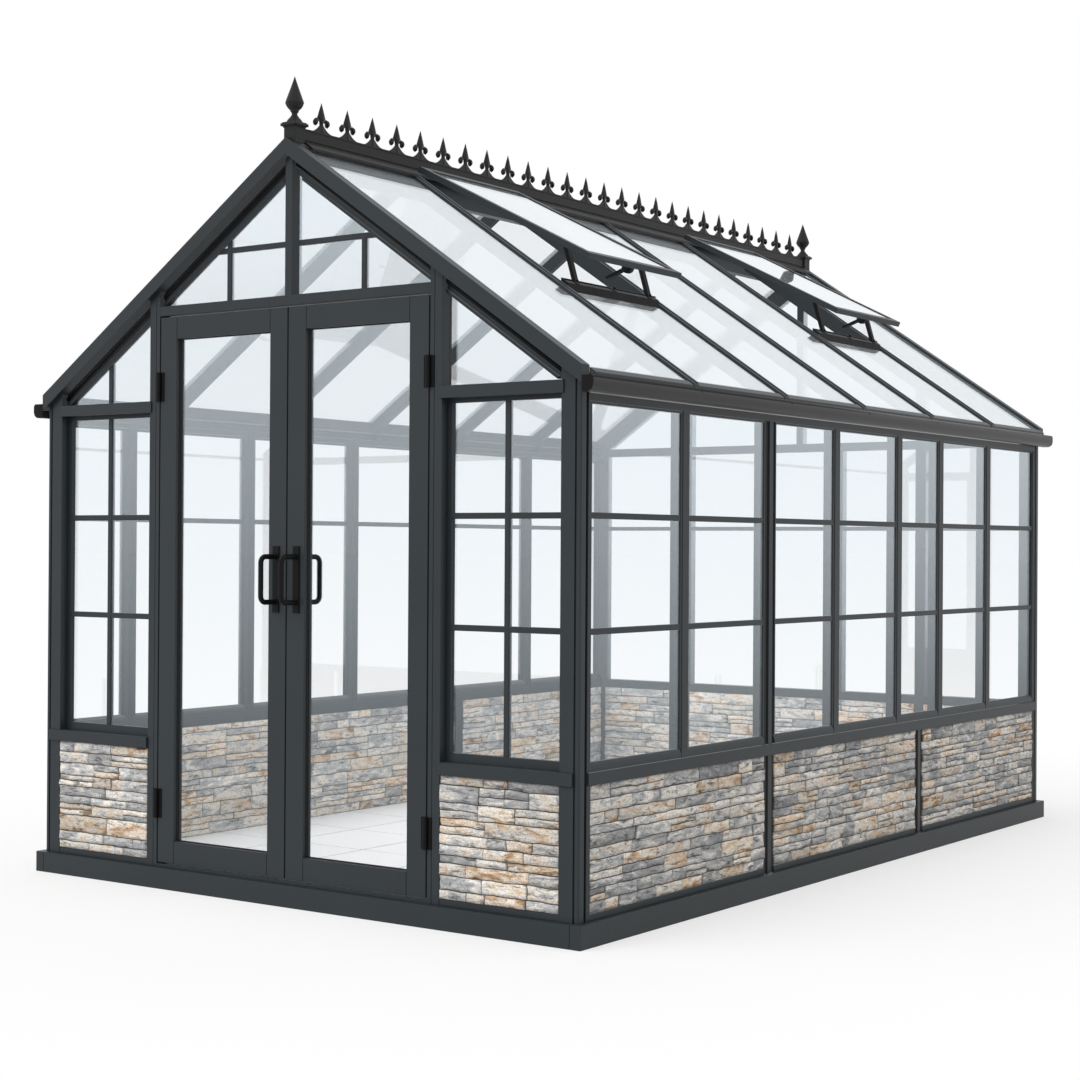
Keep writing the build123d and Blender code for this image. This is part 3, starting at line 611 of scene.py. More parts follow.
def add_extrusion(shape, outline, across_way, start, end):
    """Adds a bar of any section between two points: its outline goes along across_way and up."""
    rings = []
    for point in (start, end):
        section = [Vector(point) + a * Vector(across_way) + Vector((0, 0, b)) for a, b in outline]
        rings.append([shape.verts.new(corner) for corner in section])
    skin_over(shape, rings)


def sill_outline(glass, face):
    """The sill's section, from the glass out to just short of the wall face."""
    reach = face - glass
    return [(0, 0), (reach, 0), (reach, 0.35 * SILL), (0.75 * reach, 0.7 * SILL),
            (0.2 * reach, SILL), (0, SILL)]


glass_out = side_glass_high.x
glass_in = side_glass_low.x
beads = bmesh.new()
for side, windows in ((1, right_windows), (-1, left_windows)):
    for start, end in windows:
        add_extrusion(beads, sill_outline(glass_out, WALL_X - FACE_GAP), (side, 0, 0),
                      (side * glass_out, start, DADO_TOP), (side * glass_out, end, DADO_TOP))
        add_extrusion(beads, sill_outline(0, glass_in - INNER_X - 2 * FACE_GAP), (-side, 0, 0),
                      (side * glass_in, start, DADO_TOP), (side * glass_in, end, DADO_TOP))
        for x1, x2 in ((glass_in - BEAD_INSIDE, glass_in), (glass_out, glass_out + BEAD_OUTSIDE)):
            add_bar(beads, (side * x1, start, EAVE_BOTTOM - BEAD), (side * x2, end, EAVE_BOTTOM))
            for y1, y2 in ((start, start + BEAD), (end - BEAD, end)):
                add_bar(beads, (side * x1, y1, DADO_TOP + SILL), (side * x2, y2, EAVE_BOTTOM - BEAD))
    for y in (-INNER_Y, INNER_Y - CLEAR):
        add_bar(beads, (side * (glass_out + FACE_GAP), y, DADO_TOP + FACE_GAP),
                (side * (WALL_X - FACE_GAP), y + CLEAR, EAVE_BOTTOM - FACE_GAP))
window_beads = make_piece(beads, "window_beads", frame_paint, edge=0.0008)
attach(window_beads, "root")

# ---- Gable bars ----
# The same slim bars divide the glass over the doors and beside them: a level bar each side of the king
# post, an upright bar under the left slope, and short uprights over and under the level bar.

GABLE_LEVEL = 2.290
GABLE_UPRIGHT = 0.313
PITCH = math.radians(34.2)
RAFTER_LINE = 0.092          # underside of the gable rafters, square to the slope
BAR_INTO_RAFTER = 0.008      # how far an upright's end is let into what it meets
LEVEL_INTO_RAFTER = 0.015
RIDGE_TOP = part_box("front_barge_boards")[1].z
HEAD_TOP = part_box("door_head")[1].z
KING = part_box("king_posts")[1].x


def roof_height(x, sink=0.0):
    """Height of the slope at x, sunk square to itself."""
    return RIDGE_TOP - sink / math.cos(PITCH) - abs(x) * math.tan(PITCH)


gable = bmesh.new()
level_end = (roof_height(0, RAFTER_LINE) - GABLE_LEVEL) / math.tan(PITCH) + LEVEL_INTO_RAFTER
level_low = GABLE_LEVEL - BAR / 2
level_high = GABLE_LEVEL + BAR / 2
for side in (-1, 1):
    add_bar(gable, (side * KING, bar_near, level_low), (side * level_end, bar_far, level_high))
for x, low, high in ((-GABLE_UPRIGHT, HEAD_TOP, roof_height(GABLE_UPRIGHT, RAFTER_LINE)),
                     (GABLE_UPRIGHT, HEAD_TOP, level_low),
                     (-UPRIGHT, transom_high.z, roof_height(UPRIGHT, RAFTER_LINE))):
    add_bar(gable, (x - BAR / 2, bar_near - UPRIGHT_PROUD, low),
            (x + BAR / 2, bar_far + UPRIGHT_PROUD, high + BAR_INTO_RAFTER))
gable_bars = make_piece(gable, "gable_bars", frame_paint, edge=0.0015)
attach(gable_bars, "root")

# ---- Barge boards ----
# Deep aluminium boards that cover the ends of the roof glass, over the gables. Under each one a rounded
# black seal and a slim bead run down the slope in front of the gable glass.

dress(frame_paint, "front_barge_boards", "back_barge_boards")


def slope_matrix(side):
    """Roof coordinates: x runs down the slope from the ridge, y along it and z out of it."""
    turn = Matrix.Rotation(PITCH, 4, "Y")
    flip = Matrix.Diagonal((side, 1, 1, 1))
    return flip @ Matrix.Translation((0, 0, RIDGE_TOP)) @ turn


def add_turning(shape, profile, place, steps, flute_deep=0.0):
    """Adds a turned shape about a matrix's z: radius, height and, where it is fluted, a count of flutes."""
    rings = []
    for radius, height, *flutes in profile:
        ring = []
        for step in range(steps):
            angle = 2 * math.pi * step / steps
            reach = radius
            for count in flutes:
                reach -= flute_deep * (0.5 - 0.5 * math.cos(count * angle))
            point = Vector((reach * math.cos(angle), reach * math.sin(angle), height))
            ring.append(shape.verts.new(place @ point))
        rings.append(ring)
    skin_over(shape, rings)


def satin_black(name, colour):
    """Hard black coating on cast and turned fittings, rubbed a little smoother in places."""
    material, shader, place = new_material(name)
    rubbed = cloud(place, 30, 3)
    grain = cloud(place, 500, 1)
    skin = place.node("ShaderNodeBump", {}, {"Strength": 0.1, "Distance": 0.0003, "Height": grain})
    feed(shader, {"Base Color": blend_colours(rubbed, colour, [c * 2 for c in colour]),
                  "Roughness": rubbed * 0.25 + 0.38, "Normal": skin, "Specular IOR Level": 0.14})
    return material


hardware_black = satin_black("hardware black", (0.0040, 0.0040, 0.0044))
SEAL_RADIUS = 0.0085
SEAL_START = 0.060           # down the slope from the ridge
SEAL_OUT = 1.185             # how far out it ends
SEAL_SINK = 0.066            # below the slope
SEAL_Y = -1.874
TRIM_START = 0.115
TRIM_SHORT = 0.010           # it stops so far before the seal
TRIM_SINK = 0.098
TRIM_TALL = 0.010
TRIM_YS = (-1.882, -1.862)
slope_end = SEAL_OUT / math.cos(PITCH)
seal = bmesh.new()
trim = bmesh.new()
for sign in (-1, 1):
    for side in (-1, 1):
        place = Matrix.Diagonal((1, -sign, 1, 1)) @ slope_matrix(side)
        stand = place @ Matrix.Translation((0, SEAL_Y, -SEAL_SINK)) @ Matrix.Rotation(math.pi / 2, 4, "Y")
        add_turning(seal, [(SEAL_RADIUS, SEAL_START), (SEAL_RADIUS, slope_end)], stand, 12)
        add_bar(trim, (TRIM_START, TRIM_YS[0], -TRIM_SINK),
                (slope_end - TRIM_SHORT, TRIM_YS[1], TRIM_TALL - TRIM_SINK), place)
barge_seals = make_piece(seal, "barge_seals", hardware_black, smooth=True)
barge_trims = make_piece(trim, "barge_trims", frame_paint, edge=0.001)
for piece, slot_name in ((barge_seals, "black_hardware"), (barge_trims, "frame_paint")):
    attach(piece, "root")

# ---- Rafters and glazing caps ----
# Each rafter carries the edges of two sheets of roof glass. A pressed cap with a raised spine clamps them
# from above, and a slim bar closes the foot of each sheet over the gutter.

BAY = 2 * WALL_Y / 6
RAFTER_YS = [-WALL_Y + k * BAY for k in range(1, 6)]
CAP = 0.034
CAP_SINK = 0.003
CAP_START = 0.070
SPINE = 0.012
SPINE_PROUD = 0.005
cap_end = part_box("right_rafters")[1].x / math.cos(PITCH) - 0.001
dress(frame_paint, "right_rafters", "left_rafters")
cap_shape = bmesh.new()
add_bar(cap_shape, (CAP_START, -CAP / 2, -CAP_SINK), (cap_end, CAP / 2, 0))
add_bar(cap_shape, (CAP_START, -SPINE / 2, -0.001), (cap_end, SPINE / 2, SPINE_PROUD))
cap_sample = make_piece(cap_shape, "cap_sample", frame_paint, edge=0.0008)
caps = []
for side in (-1, 1):
    flat_caps = set_out(cap_sample, (0, RAFTER_YS[0], 0), 5, (0, BAY, 0), frame_paint)
    flat_caps.transform(slope_matrix(side))
    if side < 0:
        flat_caps.flip_normals()
    caps.append(flat_caps)
bpy.data.objects.remove(cap_sample)
glazing_caps = join_meshes("glazing_caps", caps)
EAVE_IN = 1.237
EAVE_OUT = 1.2605            # just past the foot of the glass
EAVE_FOOT = 1.768
EAVE_SINK = 0.006
BARGE_LAP = 0.026            # the boards' reach over the ends of the slope
eave_outline = [(EAVE_IN, roof_height(EAVE_IN, EAVE_SINK)), (EAVE_OUT, roof_height(EAVE_OUT, EAVE_SINK)),
                (EAVE_OUT, EAVE_FOOT), (EAVE_IN, EAVE_FOOT)]
eave_stops = [-WALL_Y + BARGE_LAP]
for y in RAFTER_YS:
    eave_stops += [y - CAP / 2, y + CAP / 2]
eave_stops.append(WALL_Y - BARGE_LAP)
eaves = bmesh.new()
for side in (-1, 1):
    for start, end in zip(eave_stops[::2], eave_stops[1::2]):
        add_extrusion(eaves, eave_outline, (side, 0, 0), (0, start, 0), (0, end, 0))
eave_bars = make_piece(eaves, "eave_bars", frame_paint, edge=0.0015)
for piece in (glazing_caps, eave_bars):
    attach(piece, "root")

# ---- Eave beams ----
# Open aluminium channels along the tops of the side walls: an upright web outside, a ledge over the windows
# and a rib above it inside. A block stands in the channel under the foot of every rafter.

eave_low, eave_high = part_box("eave_beams")
WEB = WALL_X - 0.015
GLASS_SINK = 0.016
LEDGE_EDGE = EAVE_BOTTOM + 0.022     # the ledge is thicker at the web than at its edge
LEDGE_ROOT = EAVE_BOTTOM + 0.026
SHELF = 1.766                        # middle of the rib above it
SHELF_X = INNER_X + 0.012
SHELF_EDGE = 0.008                   # its half thickness there and at the web
SHELF_ROOT = 0.010
RAFTER_HALF = 0.015
RAFTER_DEEP = 0.062
FOOT_X = INNER_X - 0.002
top_in = roof_height(WEB, GLASS_SINK)
channel = [(WALL_X, EAVE_BOTTOM), (WALL_X, roof_height(WALL_X, GLASS_SINK)), (WEB, top_in),
           (WEB, SHELF + SHELF_ROOT), (SHELF_X, SHELF + SHELF_EDGE), (SHELF_X, SHELF - SHELF_EDGE),
           (WEB, SHELF - SHELF_ROOT), (WEB, LEDGE_ROOT), (INNER_X, LEDGE_EDGE), (INNER_X, EAVE_BOTTOM)]
rafter_foot = [(FOOT_X, roof_height(INNER_X, GLASS_SINK)), (WEB, top_in), (WEB, LEDGE_ROOT - 0.002),
               (INNER_X + 0.006, LEDGE_EDGE), (FOOT_X, roof_height(INNER_X, RAFTER_DEEP))]
beams = bmesh.new()
for side in (-1, 1):
    add_extrusion(beams, channel, (side, 0, 0), (0, eave_low.y, 0), (0, eave_high.y, 0))
    for y in RAFTER_YS:
        add_extrusion(beams, rafter_foot, (side, 0, 0), (0, y - RAFTER_HALF, 0), (0, y + RAFTER_HALF, 0))
eave_channels = make_piece(beams, "eave_channels", frame_paint, edge=0.0006)
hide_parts("eave_beams")
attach(eave_channels, "root")

# ---- Gutters ----
# Rolled aluminium troughs in a neutral dark grey, with a round lip along the front edge and a black strip
# under it, painted as the lip's shadow. A cap with one screw closes each end, and a bolt goes through the
# front under every rafter.

gutter_paint = powder_coat("gutter paint", (0.020, 0.020, 0.020), 0.34)
dress(gutter_paint, "right_gutter", "left_gutter")
gutter_low, gutter_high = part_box("right_gutter")
LIP = 0.0065
LIP_INSET = 0.008            # from the gutter's front edge to the middle of the lip
SHADOW_LINE_XS = (0.010, 0.0022)    # from that edge, and down from the top
SHADOW_LINE_ZS = (0.0165, 0.0135)
CAP_THICK = 0.0015
lips = bmesh.new()
for side in (-1, 1):
    stand = Matrix.Translation((side * (gutter_high.x - LIP_INSET), 0, gutter_high.z - LIP))
    lie = stand @ Matrix.Rotation(-math.pi / 2, 4, "X")
    add_turning(lips, [(LIP, -gutter_high.y), (LIP, gutter_high.y)], lie, 12)
gutter_lips = make_piece(lips, "gutter_lips", gutter_paint, smooth=True)
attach(gutter_lips, "root")
# A thin black strip under each lip: painted shadow of the lip.
shadow_line = bmesh.new()
for side in (-1, 1):
    add_bar(shadow_line, (side * (gutter_high.x - SHADOW_LINE_XS[0]), -gutter_high.y, gutter_high.z - SHADOW_LINE_ZS[0]),
            (side * (gutter_high.x - SHADOW_LINE_XS[1]), gutter_high.y, gutter_high.z - SHADOW_LINE_ZS[1]))
gutter_folds = make_piece(shadow_line, "gutter_folds", black_rubber_and_shade)
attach(gutter_folds, "root")
CAP_OUTLINE = ((0.28, 0.10), (0.36, 0.02), (0.70, 0.02), (0.90, 0.16),     # shares of the gutter's section
               (0.98, 0.40), (0.98, 0.84), (0.86, 0.97), (0.28, 0.97))
cap_width = gutter_high.x - gutter_low.x
cap_height = gutter_high.z - gutter_low.z
end_caps = bmesh.new()
for side in (-1, 1):
    for sign in (-1, 1):
        corner = Vector((side * gutter_low.x, sign * gutter_high.y, gutter_low.z))
        outline = [(a * cap_width, b * cap_height) for a, b in CAP_OUTLINE]
        add_extrusion(end_caps, outline, (side, 0, 0), corner, corner + Vector((0, sign * CAP_THICK, 0)))
gutter_caps = make_piece(end_caps, "gutter_caps", hardware_black)
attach(gutter_caps, "root")


def turned_sample(name, profile, axis, steps=10):
    """A small turned shape that points along an axis. It is copied in rows, then removed."""
    shape = bmesh.new()
    turn = Vector((0, 0, 1)).rotation_difference(Vector(axis))
    add_turning(shape, profile, turn.to_matrix().to_4x4(), steps)
    return make_piece(shape, name, hardware_black, smooth=True)


SCREW = [(0.0075, 0), (0.0075, 0.0008), (0.0048, 0.0010), (0.0044, 0.0032), (0.0022, 0.0040)]
BOLT = [(0.0085, 0), (0.0085, 0.0010), (0.0055, 0.0013), (0.0050, 0.0030), (0.0025, 0.0036)]
BOLT_SINK = 0.0048           # into the lip's front, and below its top
BOLT_DROP = 0.011
BOLT_TILT = 0.35             # its head looks up a little
SCREW_SINK = 0.0012
bolt_x = gutter_high.x - BOLT_SINK
bolt_z = gutter_high.z - BOLT_DROP
screw_x = (gutter_high.x + gutter_low.x) / 2
screw_z = (gutter_high.z + gutter_low.z) / 2
bolt_meshes = []
for side in (-1, 1):
    bolt = turned_sample("gutter_bolt", BOLT, (side, 0, BOLT_TILT))
    bolt_meshes.append(set_out(bolt, (side * bolt_x, RAFTER_YS[0], bolt_z), 5, (0, BAY, 0), hardware_black))
    bpy.data.objects.remove(bolt)
for sign in (-1, 1):
    screw = turned_sample("cap_screw", SCREW, (0, sign, 0))
    start = (-screw_x, sign * (gutter_high.y - SCREW_SINK), screw_z)
    bolt_meshes.append(set_out(screw, start, 2, (2 * screw_x, 0, 0), hardware_black))
    bpy.data.objects.remove(screw)
gutter_bolts = join_meshes("gutter_bolts", bolt_meshes)
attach(gutter_bolts, "root")

# ---- Ridge ----
# A tall cast ridge board in near-black paint caps the roof, on sloping flashings. Cast spikes with a curl
# each side stand along it on scalloped feet, and a turned finial on a square block closes each end.

crest_paint = powder_coat("crest paint", (0.012, 0.012, 0.0125), 0.45)
dress(crest_paint, "ridge_cap", "ridge_flashings")
ridge_low, ridge_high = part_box("ridge_cap")
crest_low, crest_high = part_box("ridge_cresting")
SPIKES = 26
MOULDINGS = ((0.0455, 0.0475, 0.0012), (0.012, 0.018, 0.0025))       # foot, top and how proud
spike_pitch = (crest_high.y - crest_low.y) / SPIKES
spike_rise = crest_high.z - ridge_high.z
mouldings = bmesh.new()
for side in (-1, 1):
    for low, high, proud in MOULDINGS:
        add_bar(mouldings, (side * ridge_high.x, ridge_low.y, ridge_low.z + low),
                (side * (ridge_high.x + proud), ridge_high.y, ridge_low.z + high))
ridge_mouldings = make_piece(mouldings, "ridge_mouldings", crest_paint, edge=0.0008)
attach(ridge_mouldings, "root")


def add_leaf(shape, outline, thick):
    """Adds a cast leaf: an outline of half width, height and depth, pillowed to a ridge down its middle."""
    pillow = ((-1, 0), (-0.5, 0.75), (0, 1), (0.5, 0.75), (1, 0), (0.5, -0.75), (0, -1), (-0.5, -0.75))
    rings = []
    for half, height, depth in outline:
        rings.append([shape.verts.new((b * depth * thick, a * half, height)) for a, b in pillow])
    skin_over(shape, rings)


def add_curl(shape, side, centre, radius, thick):
    """Adds a drooping curl: a round bar, thicker to its tip, bent down into a hook."""
    rings = []
    bends = 7
    sides = 6
    for k in range(bends + 1):
        angle = math.radians(150 - 215 * k / bends)
        size = thick * (0.85 + 0.25 * k / bends)
        outward = Vector((0, side * math.cos(angle), math.sin(angle)))
        middle = Vector((0, side * centre[0], centre[1])) + outward * radius
        ring = []
        for step in range(sides):
            turn = 2 * math.pi * step / sides
            rim = outward * math.cos(turn) + Vector((math.sin(turn), 0, 0))
            ring.append(shape.verts.new(middle + rim * size))
        rings.append(ring)
    skin_over(shape, rings)


SPIKE_HEAD = [(0.013, 0, 0.8), (0.011, 0.022, 0.9), (0.010, 0.034, 1.0), (0.012, 0.046, 1.1),
              (0.021, 0.053, 1.2), (0.0225, 0.057, 1.2), (0.0180, 0.068, 1.1), (0.0110, 0.086, 0.8),
              (0.0006, spike_rise, 0.1)]
SPIKE_THICK = 0.0068
CURL_CENTRE = (0.0250, 0.0410)       # out from the spike's middle, and up
CURL_RADIUS = 0.0066
CURL_THICK = 0.0090
FOOT_STEPS = 8
FOOT_THIN = 0.005            # height of the foot midway between two spikes
FOOT_RISE = 0.034            # and how much more it has under a spike
FOOT_HALF = 0.004
spike = bmesh.new()
add_leaf(spike, SPIKE_HEAD, SPIKE_THICK)
for side in (-1, 1):
    add_curl(spike, side, CURL_CENTRE, CURL_RADIUS, CURL_THICK)
half_pitch = spike_pitch / 2
scallop = []
for k in range(FOOT_STEPS + 1):
    reach = half_pitch * k / FOOT_STEPS
    scallop.append((reach, FOOT_THIN + FOOT_RISE * max(0.0, 1 - reach / (0.80 * half_pitch)) ** 2))
foot_outline = [(-y, z) for y, z in reversed(scallop)] + scallop[1:] + [(half_pitch, 0), (-half_pitch, 0)]
add_extrusion(spike, foot_outline, (0, 1, 0), (-FOOT_HALF, 0, 0), (FOOT_HALF, 0, 0))
spike_sample = make_piece(spike, "spike_sample", crest_paint, smooth=True)
spikes = join_meshes("ridge_spikes", [set_out(
    spike_sample, (0, crest_low.y + half_pitch, ridge_high.z), SPIKES, (0, spike_pitch, 0), crest_paint)])
bpy.data.objects.remove(spike_sample)
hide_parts("ridge_cresting")
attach(spikes, "root")

FLUTES = 12
FLUTE_DEEP = 0.0035
FINIAL = [(0.0275, 0), (0.0280, 0.003, FLUTES), (0.0260, 0.008, FLUTES), (0.0215, 0.013, FLUTES),
          (0.0165, 0.018), (0.0150, 0.021), (0.0108, 0.026), (0.0098, 0.033), (0.0120, 0.036),
          (0.0150, 0.039), (0.0140, 0.042), (0.0190, 0.047, FLUTES), (0.0250, 0.053, FLUTES),
          (0.0295, 0.060, FLUTES), (0.0320, 0.066, FLUTES), (0.0328, 0.070), (0.0315, 0.0725),
          (0.0310, 0.0755), (0.0250, 0.092), (0.0170, 0.114), (0.0088, 0.137), (0.0040, 0.151),
          (0.0006, 0.1615)]
PLATE_TOP = 2.706
PLATE = 0.035
BLOCK = 0.026
BLOCK_ZS = (-0.0565, -0.013)         # heights from the top plate
PLATES = ((0.029, -0.0175, -0.012), (PLATE, -0.0125, -0.003), (0.031, -0.0035, 0.001))
finial_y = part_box("finials")[1].y - PLATE
tops = bmesh.new()
blocks = bmesh.new()
for sign in (-1, 1):
    y = sign * finial_y
    stand = Matrix.Translation((0, y, PLATE_TOP))
    add_turning(tops, FINIAL, stand, 3 * FLUTES, FLUTE_DEEP)
    add_bar(blocks, (-BLOCK, -BLOCK, BLOCK_ZS[0]), (BLOCK, BLOCK, BLOCK_ZS[1]), stand)
    for half, low, high in PLATES:
        add_bar(blocks, (-half, -half, low), (half, half, high), stand)
    for side in (-1, 1):
        wedge = [(0, 0), (side * BLOCK, 0), (side * BLOCK, -BLOCK * math.tan(PITCH))]
        add_extrusion(blocks, wedge, (1, 0, 0), (0, y - BLOCK, RIDGE_TOP), (0, y + BLOCK, RIDGE_TOP))
finial_tops = make_piece(tops, "finial_tops", crest_paint, smooth=True)
finial_blocks = make_piece(blocks, "finial_blocks", crest_paint, edge=0.0012)
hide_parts("finials")
for piece in (finial_tops, finial_blocks):
    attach(piece, "root")

# ---- Roof vents ----
# Two glazed sashes hang from the ridge on the right slope, propped a little open on flat black arms that
# stand on a bar across the opening. The bar has three pegs, and a round catch hangs under the sash's edge.

dress(frame_paint, "vent_sashes")
dress(hardware_black, "vent_sills", "vent_stays")
vent_middles = [-WALL_Y + 1.5 * BAY, -WALL_Y + 4.5 * BAY]
VENT_FALL = math.radians(26.7)       # slope of an open sash
SILL_HALF = BAY / 2 - 0.015
SILL_LIP = ((-0.013, 0.009), (-0.009, 0.017))        # along and out of the slope, from the sill's middle
PEG_INSET = 0.060
PEG_Z = 0.014
PEG = [(0.006, 0), (0.006, 0.010), (0.004, 0.013)]
PEG_PLATE = ((-0.010, -0.012, 0.010), (0.010, 0.012, 0.016))
ARM = (0.005, 0.011)
ARM_SETBACK = 0.041          # an arm's head stands so far nearer the ridge than its foot
HOOK_SETBACK = 0.040
HOOK_DROP = 0.012
HOOK = [(0.014, -0.014), (0.022, -0.010), (0.022, 0.010), (0.014, 0.014)]
HOOK_ARM = ((-0.095, -0.012, -0.005), (0.004, 0.012, 0.005))
HOOK_LUG = ((-0.020, -0.007, 0), (0.020, 0.007, 0.012))
HOOK_TURN = -0.35
sash_low, sash_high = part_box("vent_sashes")
sill_low, sill_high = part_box("vent_sills")


def sash_foot(setback):
    """Height of an open sash's underside, so far back from its outer edge."""
    return sash_low.z + setback * math.tan(VENT_FALL)


place = slope_matrix(1)
along = (sill_low.x + sill_high.x) / 2 / math.cos(PITCH)
peg_reach = SILL_HALF - PEG_INSET
fittings = bmesh.new()
for middle in vent_middles:
    for y in (middle - peg_reach, middle, middle + peg_reach):
        line = place @ Matrix.Translation((along, y, 0))
        add_bar(fittings, *PEG_PLATE, line)
        peg_foot = Matrix.Translation(line @ Vector((0, 0, PEG_Z)))
        add_turning(fittings, PEG, peg_foot @ Matrix.Rotation(PITCH, 4, "Y"), 10)
    (lip_start, lip_low), (lip_end, lip_top) = SILL_LIP
    add_bar(fittings, (along + lip_start, middle - SILL_HALF, lip_low),
            (along + lip_end, middle + SILL_HALF, lip_top), place)
    for y in (middle - peg_reach, middle + peg_reach):
        foot = place @ Vector((along, y, PEG_Z))
        head = Vector((foot.x - ARM_SETBACK, y, sash_foot(sash_high.x - foot.x + ARM_SETBACK)))
        run = head - foot
        lean = Matrix.Translation(foot) @ Vector((0, 0, 1)).rotation_difference(run).to_matrix().to_4x4()
        add_bar(fittings, (-ARM[0], -ARM[1], 0), (*ARM, run.length), lean)
    hook = Matrix.Translation((sash_high.x - HOOK_SETBACK, middle, sash_foot(HOOK_SETBACK) - HOOK_DROP))
    add_turning(fittings, HOOK, hook @ Matrix.Rotation(math.pi / 2, 4, "X"), 14)
    add_bar(fittings, *HOOK_ARM, hook @ Matrix.Rotation(HOOK_TURN, 4, "Y"))
    add_bar(fittings, *HOOK_LUG, hook)
vent_fittings = make_piece(fittings, "vent_fittings", hardware_black, edge=0.0006)
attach(vent_fittings, "root")

# ---- Doors ----
# A pair of glazed leaves in broad aluminium stiles, hung on the door posts by black hinges, with a D
# shaped pull on each face. Black rubber seals the panes.

dress(frame_paint, "right_door_frame", "left_door_frame")
dress(hardware_black, "right_door_handles", "left_door_handles", "right_door_hinge_leaves",
      "left_door_hinge_leaves", "fixed_hinge_halves")
GASKET = 0.003
GASKET_PROUD = 0.004
for body in ("right_door", "left_door"):
    pane_low, pane_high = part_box(f"{body}_glass")
    gasket = bmesh.new()
    for y1, y2 in ((pane_low.y - GASKET_PROUD, pane_low.y), (pane_high.y, pane_high.y + GASKET_PROUD)):
        for x1, x2 in ((pane_low.x, pane_low.x + GASKET), (pane_high.x - GASKET, pane_high.x)):
            add_bar(gasket, (x1, y1, pane_low.z), (x2, y2, pane_high.z))
        for z1, z2 in ((pane_low.z, pane_low.z + GASKET), (pane_high.z - GASKET, pane_high.z)):
            add_bar(gasket, (pane_low.x + GASKET, y1, z1), (pane_high.x - GASKET, y2, z2))
    gasket = make_piece(gasket, f"{body}_gaskets", black_rubber_and_shade)
    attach(gasket, body)

# ---- Glass ----
# Clear toughened sheets, 4 mm thick, a little blue-white with the sky that they mirror. The walls' sheets
# show more of what stands behind them than the roof's, which catch the light at a low angle. The sheen is
# clean sky: the bars and stones of the side walls and the slopes don't show in it.


def sheet_glass(name, head_on, slanting, colour, mirror, foot_share, head_share):
    """Clear glass: a face throws back more the more it slants to the eye, and less of it near the floor."""
    material, shader, place = new_material(name)
    slant = place.node("ShaderNodeLayerWeight", {}, {"Blend": 0.5}, "Facing")
    smears = cloud(place, 3.0, 3)
    height = place.node("ShaderNodeSeparateXYZ", {}, {"Vector": place}, 2)
    share = place.node("ShaderNodeMapRange", {}, {
        "Value": height, "From Min": 0.4, "From Max": 2.4, "To Min": foot_share, "To Max": head_share})
    sheen = slant * slant * slant * (slanting - head_on) + head_on
    feed(shader, {"Base Color": colour, "Metallic": mirror, "Roughness": smears * 0.03,
                  "Alpha": sheen * share})
    return material


wall_glass = sheet_glass("wall glass", 0.152, 0.50, (0.80, 0.89, 0.95, 1), 1.0, 0.3, 2.0)
roof_glass = sheet_glass("roof glass", 0.12, 1.12, (0.82, 0.89, 0.94, 1), 0.72, 1.0, 1.0)
wall_panes = ("front_glass", "back_glass", "right_glass", "left_glass",
              "right_door_glass", "left_door_glass")
roof_panes = ("left_roof_glass", "right_roof_glass", "vent_glass")
dress(wall_glass, *wall_panes)
dress(roof_glass, *roof_panes)
for name in wall_panes + roof_panes:
    nodes[name].visible_shadow = False
    nodes[name].visible_diffuse = False
    nodes[name].visible_glossy = False
for name in ("right_wall_posts", "left_wall_posts", "back_wall_posts", "side_dado_rails", "king_posts",
             "ridge_beam", "right_rafters", "left_rafters", "front_gable_rafters", "back_gable_rafters",
             "right_gutter", "left_gutter", "vent_sashes", "vent_stays", "floor", "right_stone_panels",
             "left_stone_panels"):
    nodes[name].visible_glossy = False
for piece in (post_ribs, window_bars, window_beads, gable_bars, barge_seals, barge_trims, glazing_caps,
              eave_bars, eave_channels, vent_fittings, spikes, *stone_pieces):
    piece.visible_glossy = False

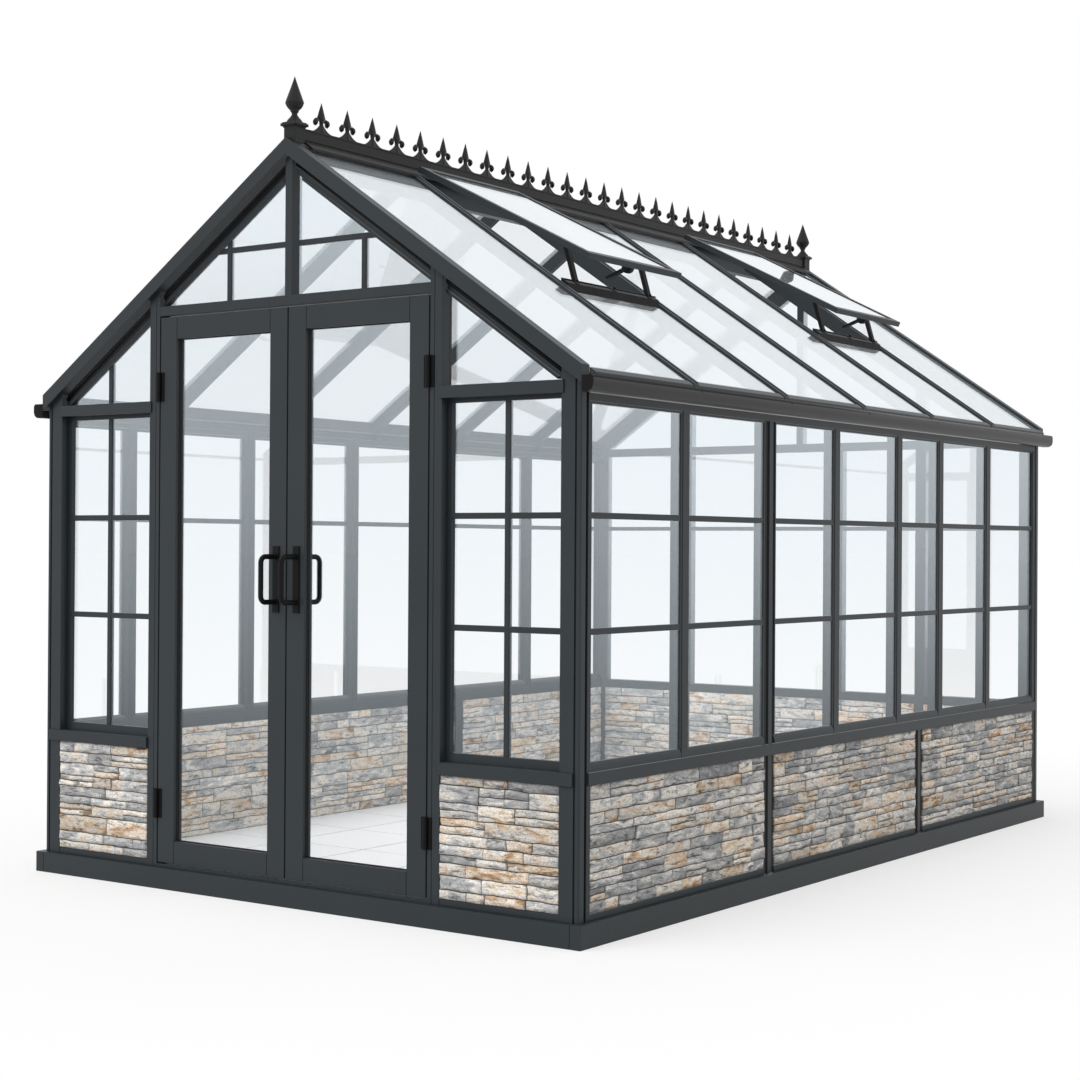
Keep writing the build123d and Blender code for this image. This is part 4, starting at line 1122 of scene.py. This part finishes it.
# ---- Studio ----
# A white floor under a white sky, one broad soft sun from the front left, and a camera at chest height
# off the front right corner.

floor_material, floor_shader, floor_place = new_material("studio floor")
seen = floor_place.node("ShaderNodeLightPath", output="Is Camera Ray")
mirrored = floor_place.node("ShaderNodeLightPath", output="Is Glossy Ray")
feed(floor_shader, {"Base Color": (0.34, 0.34, 0.34, 1), "Roughness": 1.0, "Specular IOR Level": 0.0,
                    "Emission Color": (1, 1, 1, 1), "Emission Strength": seen * 0.57 + mirrored * 0.50})
studio_floor = bmesh.new()
bmesh.ops.create_grid(studio_floor, x_segments=1, y_segments=1, size=200)
studio_floor = make_piece(studio_floor, "studio_floor", floor_material)

world = bpy.data.worlds.new("white sky")
world.use_nodes = True
scene.world = world
background = world.node_tree.nodes["Background"]
sky = Value(world.node_tree)
way = sky.node("ShaderNodeTexCoord", output="Generated")
height = sky.node("ShaderNodeSeparateXYZ", {}, {"Vector": way}, 2)
above = sky.node("ShaderNodeMath", {"operation": "MAXIMUM"}, {0: height, 1: 0.0})
seen = sky.node("ShaderNodeLightPath", output="Is Camera Ray")
mirrored = sky.node("ShaderNodeLightPath", output="Is Glossy Ray") * 0.96
white = sky.node("ShaderNodeMath", {"operation": "MAXIMUM"}, {0: seen, 1: mirrored})
glow = sky.node("ShaderNodeMath", {"operation": "MAXIMUM"}, {0: above * 0.42 + 0.74, 1: white})
feed(background, {"Color": (1, 1, 1, 1), "Strength": glow})

sun = bpy.data.lights.new("broad sun", "SUN")
sun.energy = 1.35
sun.angle = math.radians(50)
sun_object = bpy.data.objects.new("broad sun", sun)
sun_object.rotation_euler = (math.radians(48), 0, math.radians(-28))
sun_object.visible_glossy = False
scene.collection.objects.link(sun_object)

camera_data = bpy.data.cameras.new("camera")
camera_data.lens = 65.91
camera_data.sensor_width = 36
camera = bpy.data.objects.new("camera", camera_data)
camera.location = (4.6582, -6.9629, 1.2414)
camera.rotation_euler = (math.radians(90.211), math.radians(-0.35), math.radians(35.314))
scene.collection.objects.link(camera)
scene.camera = camera
scene.view_settings.view_transform = "Standard"
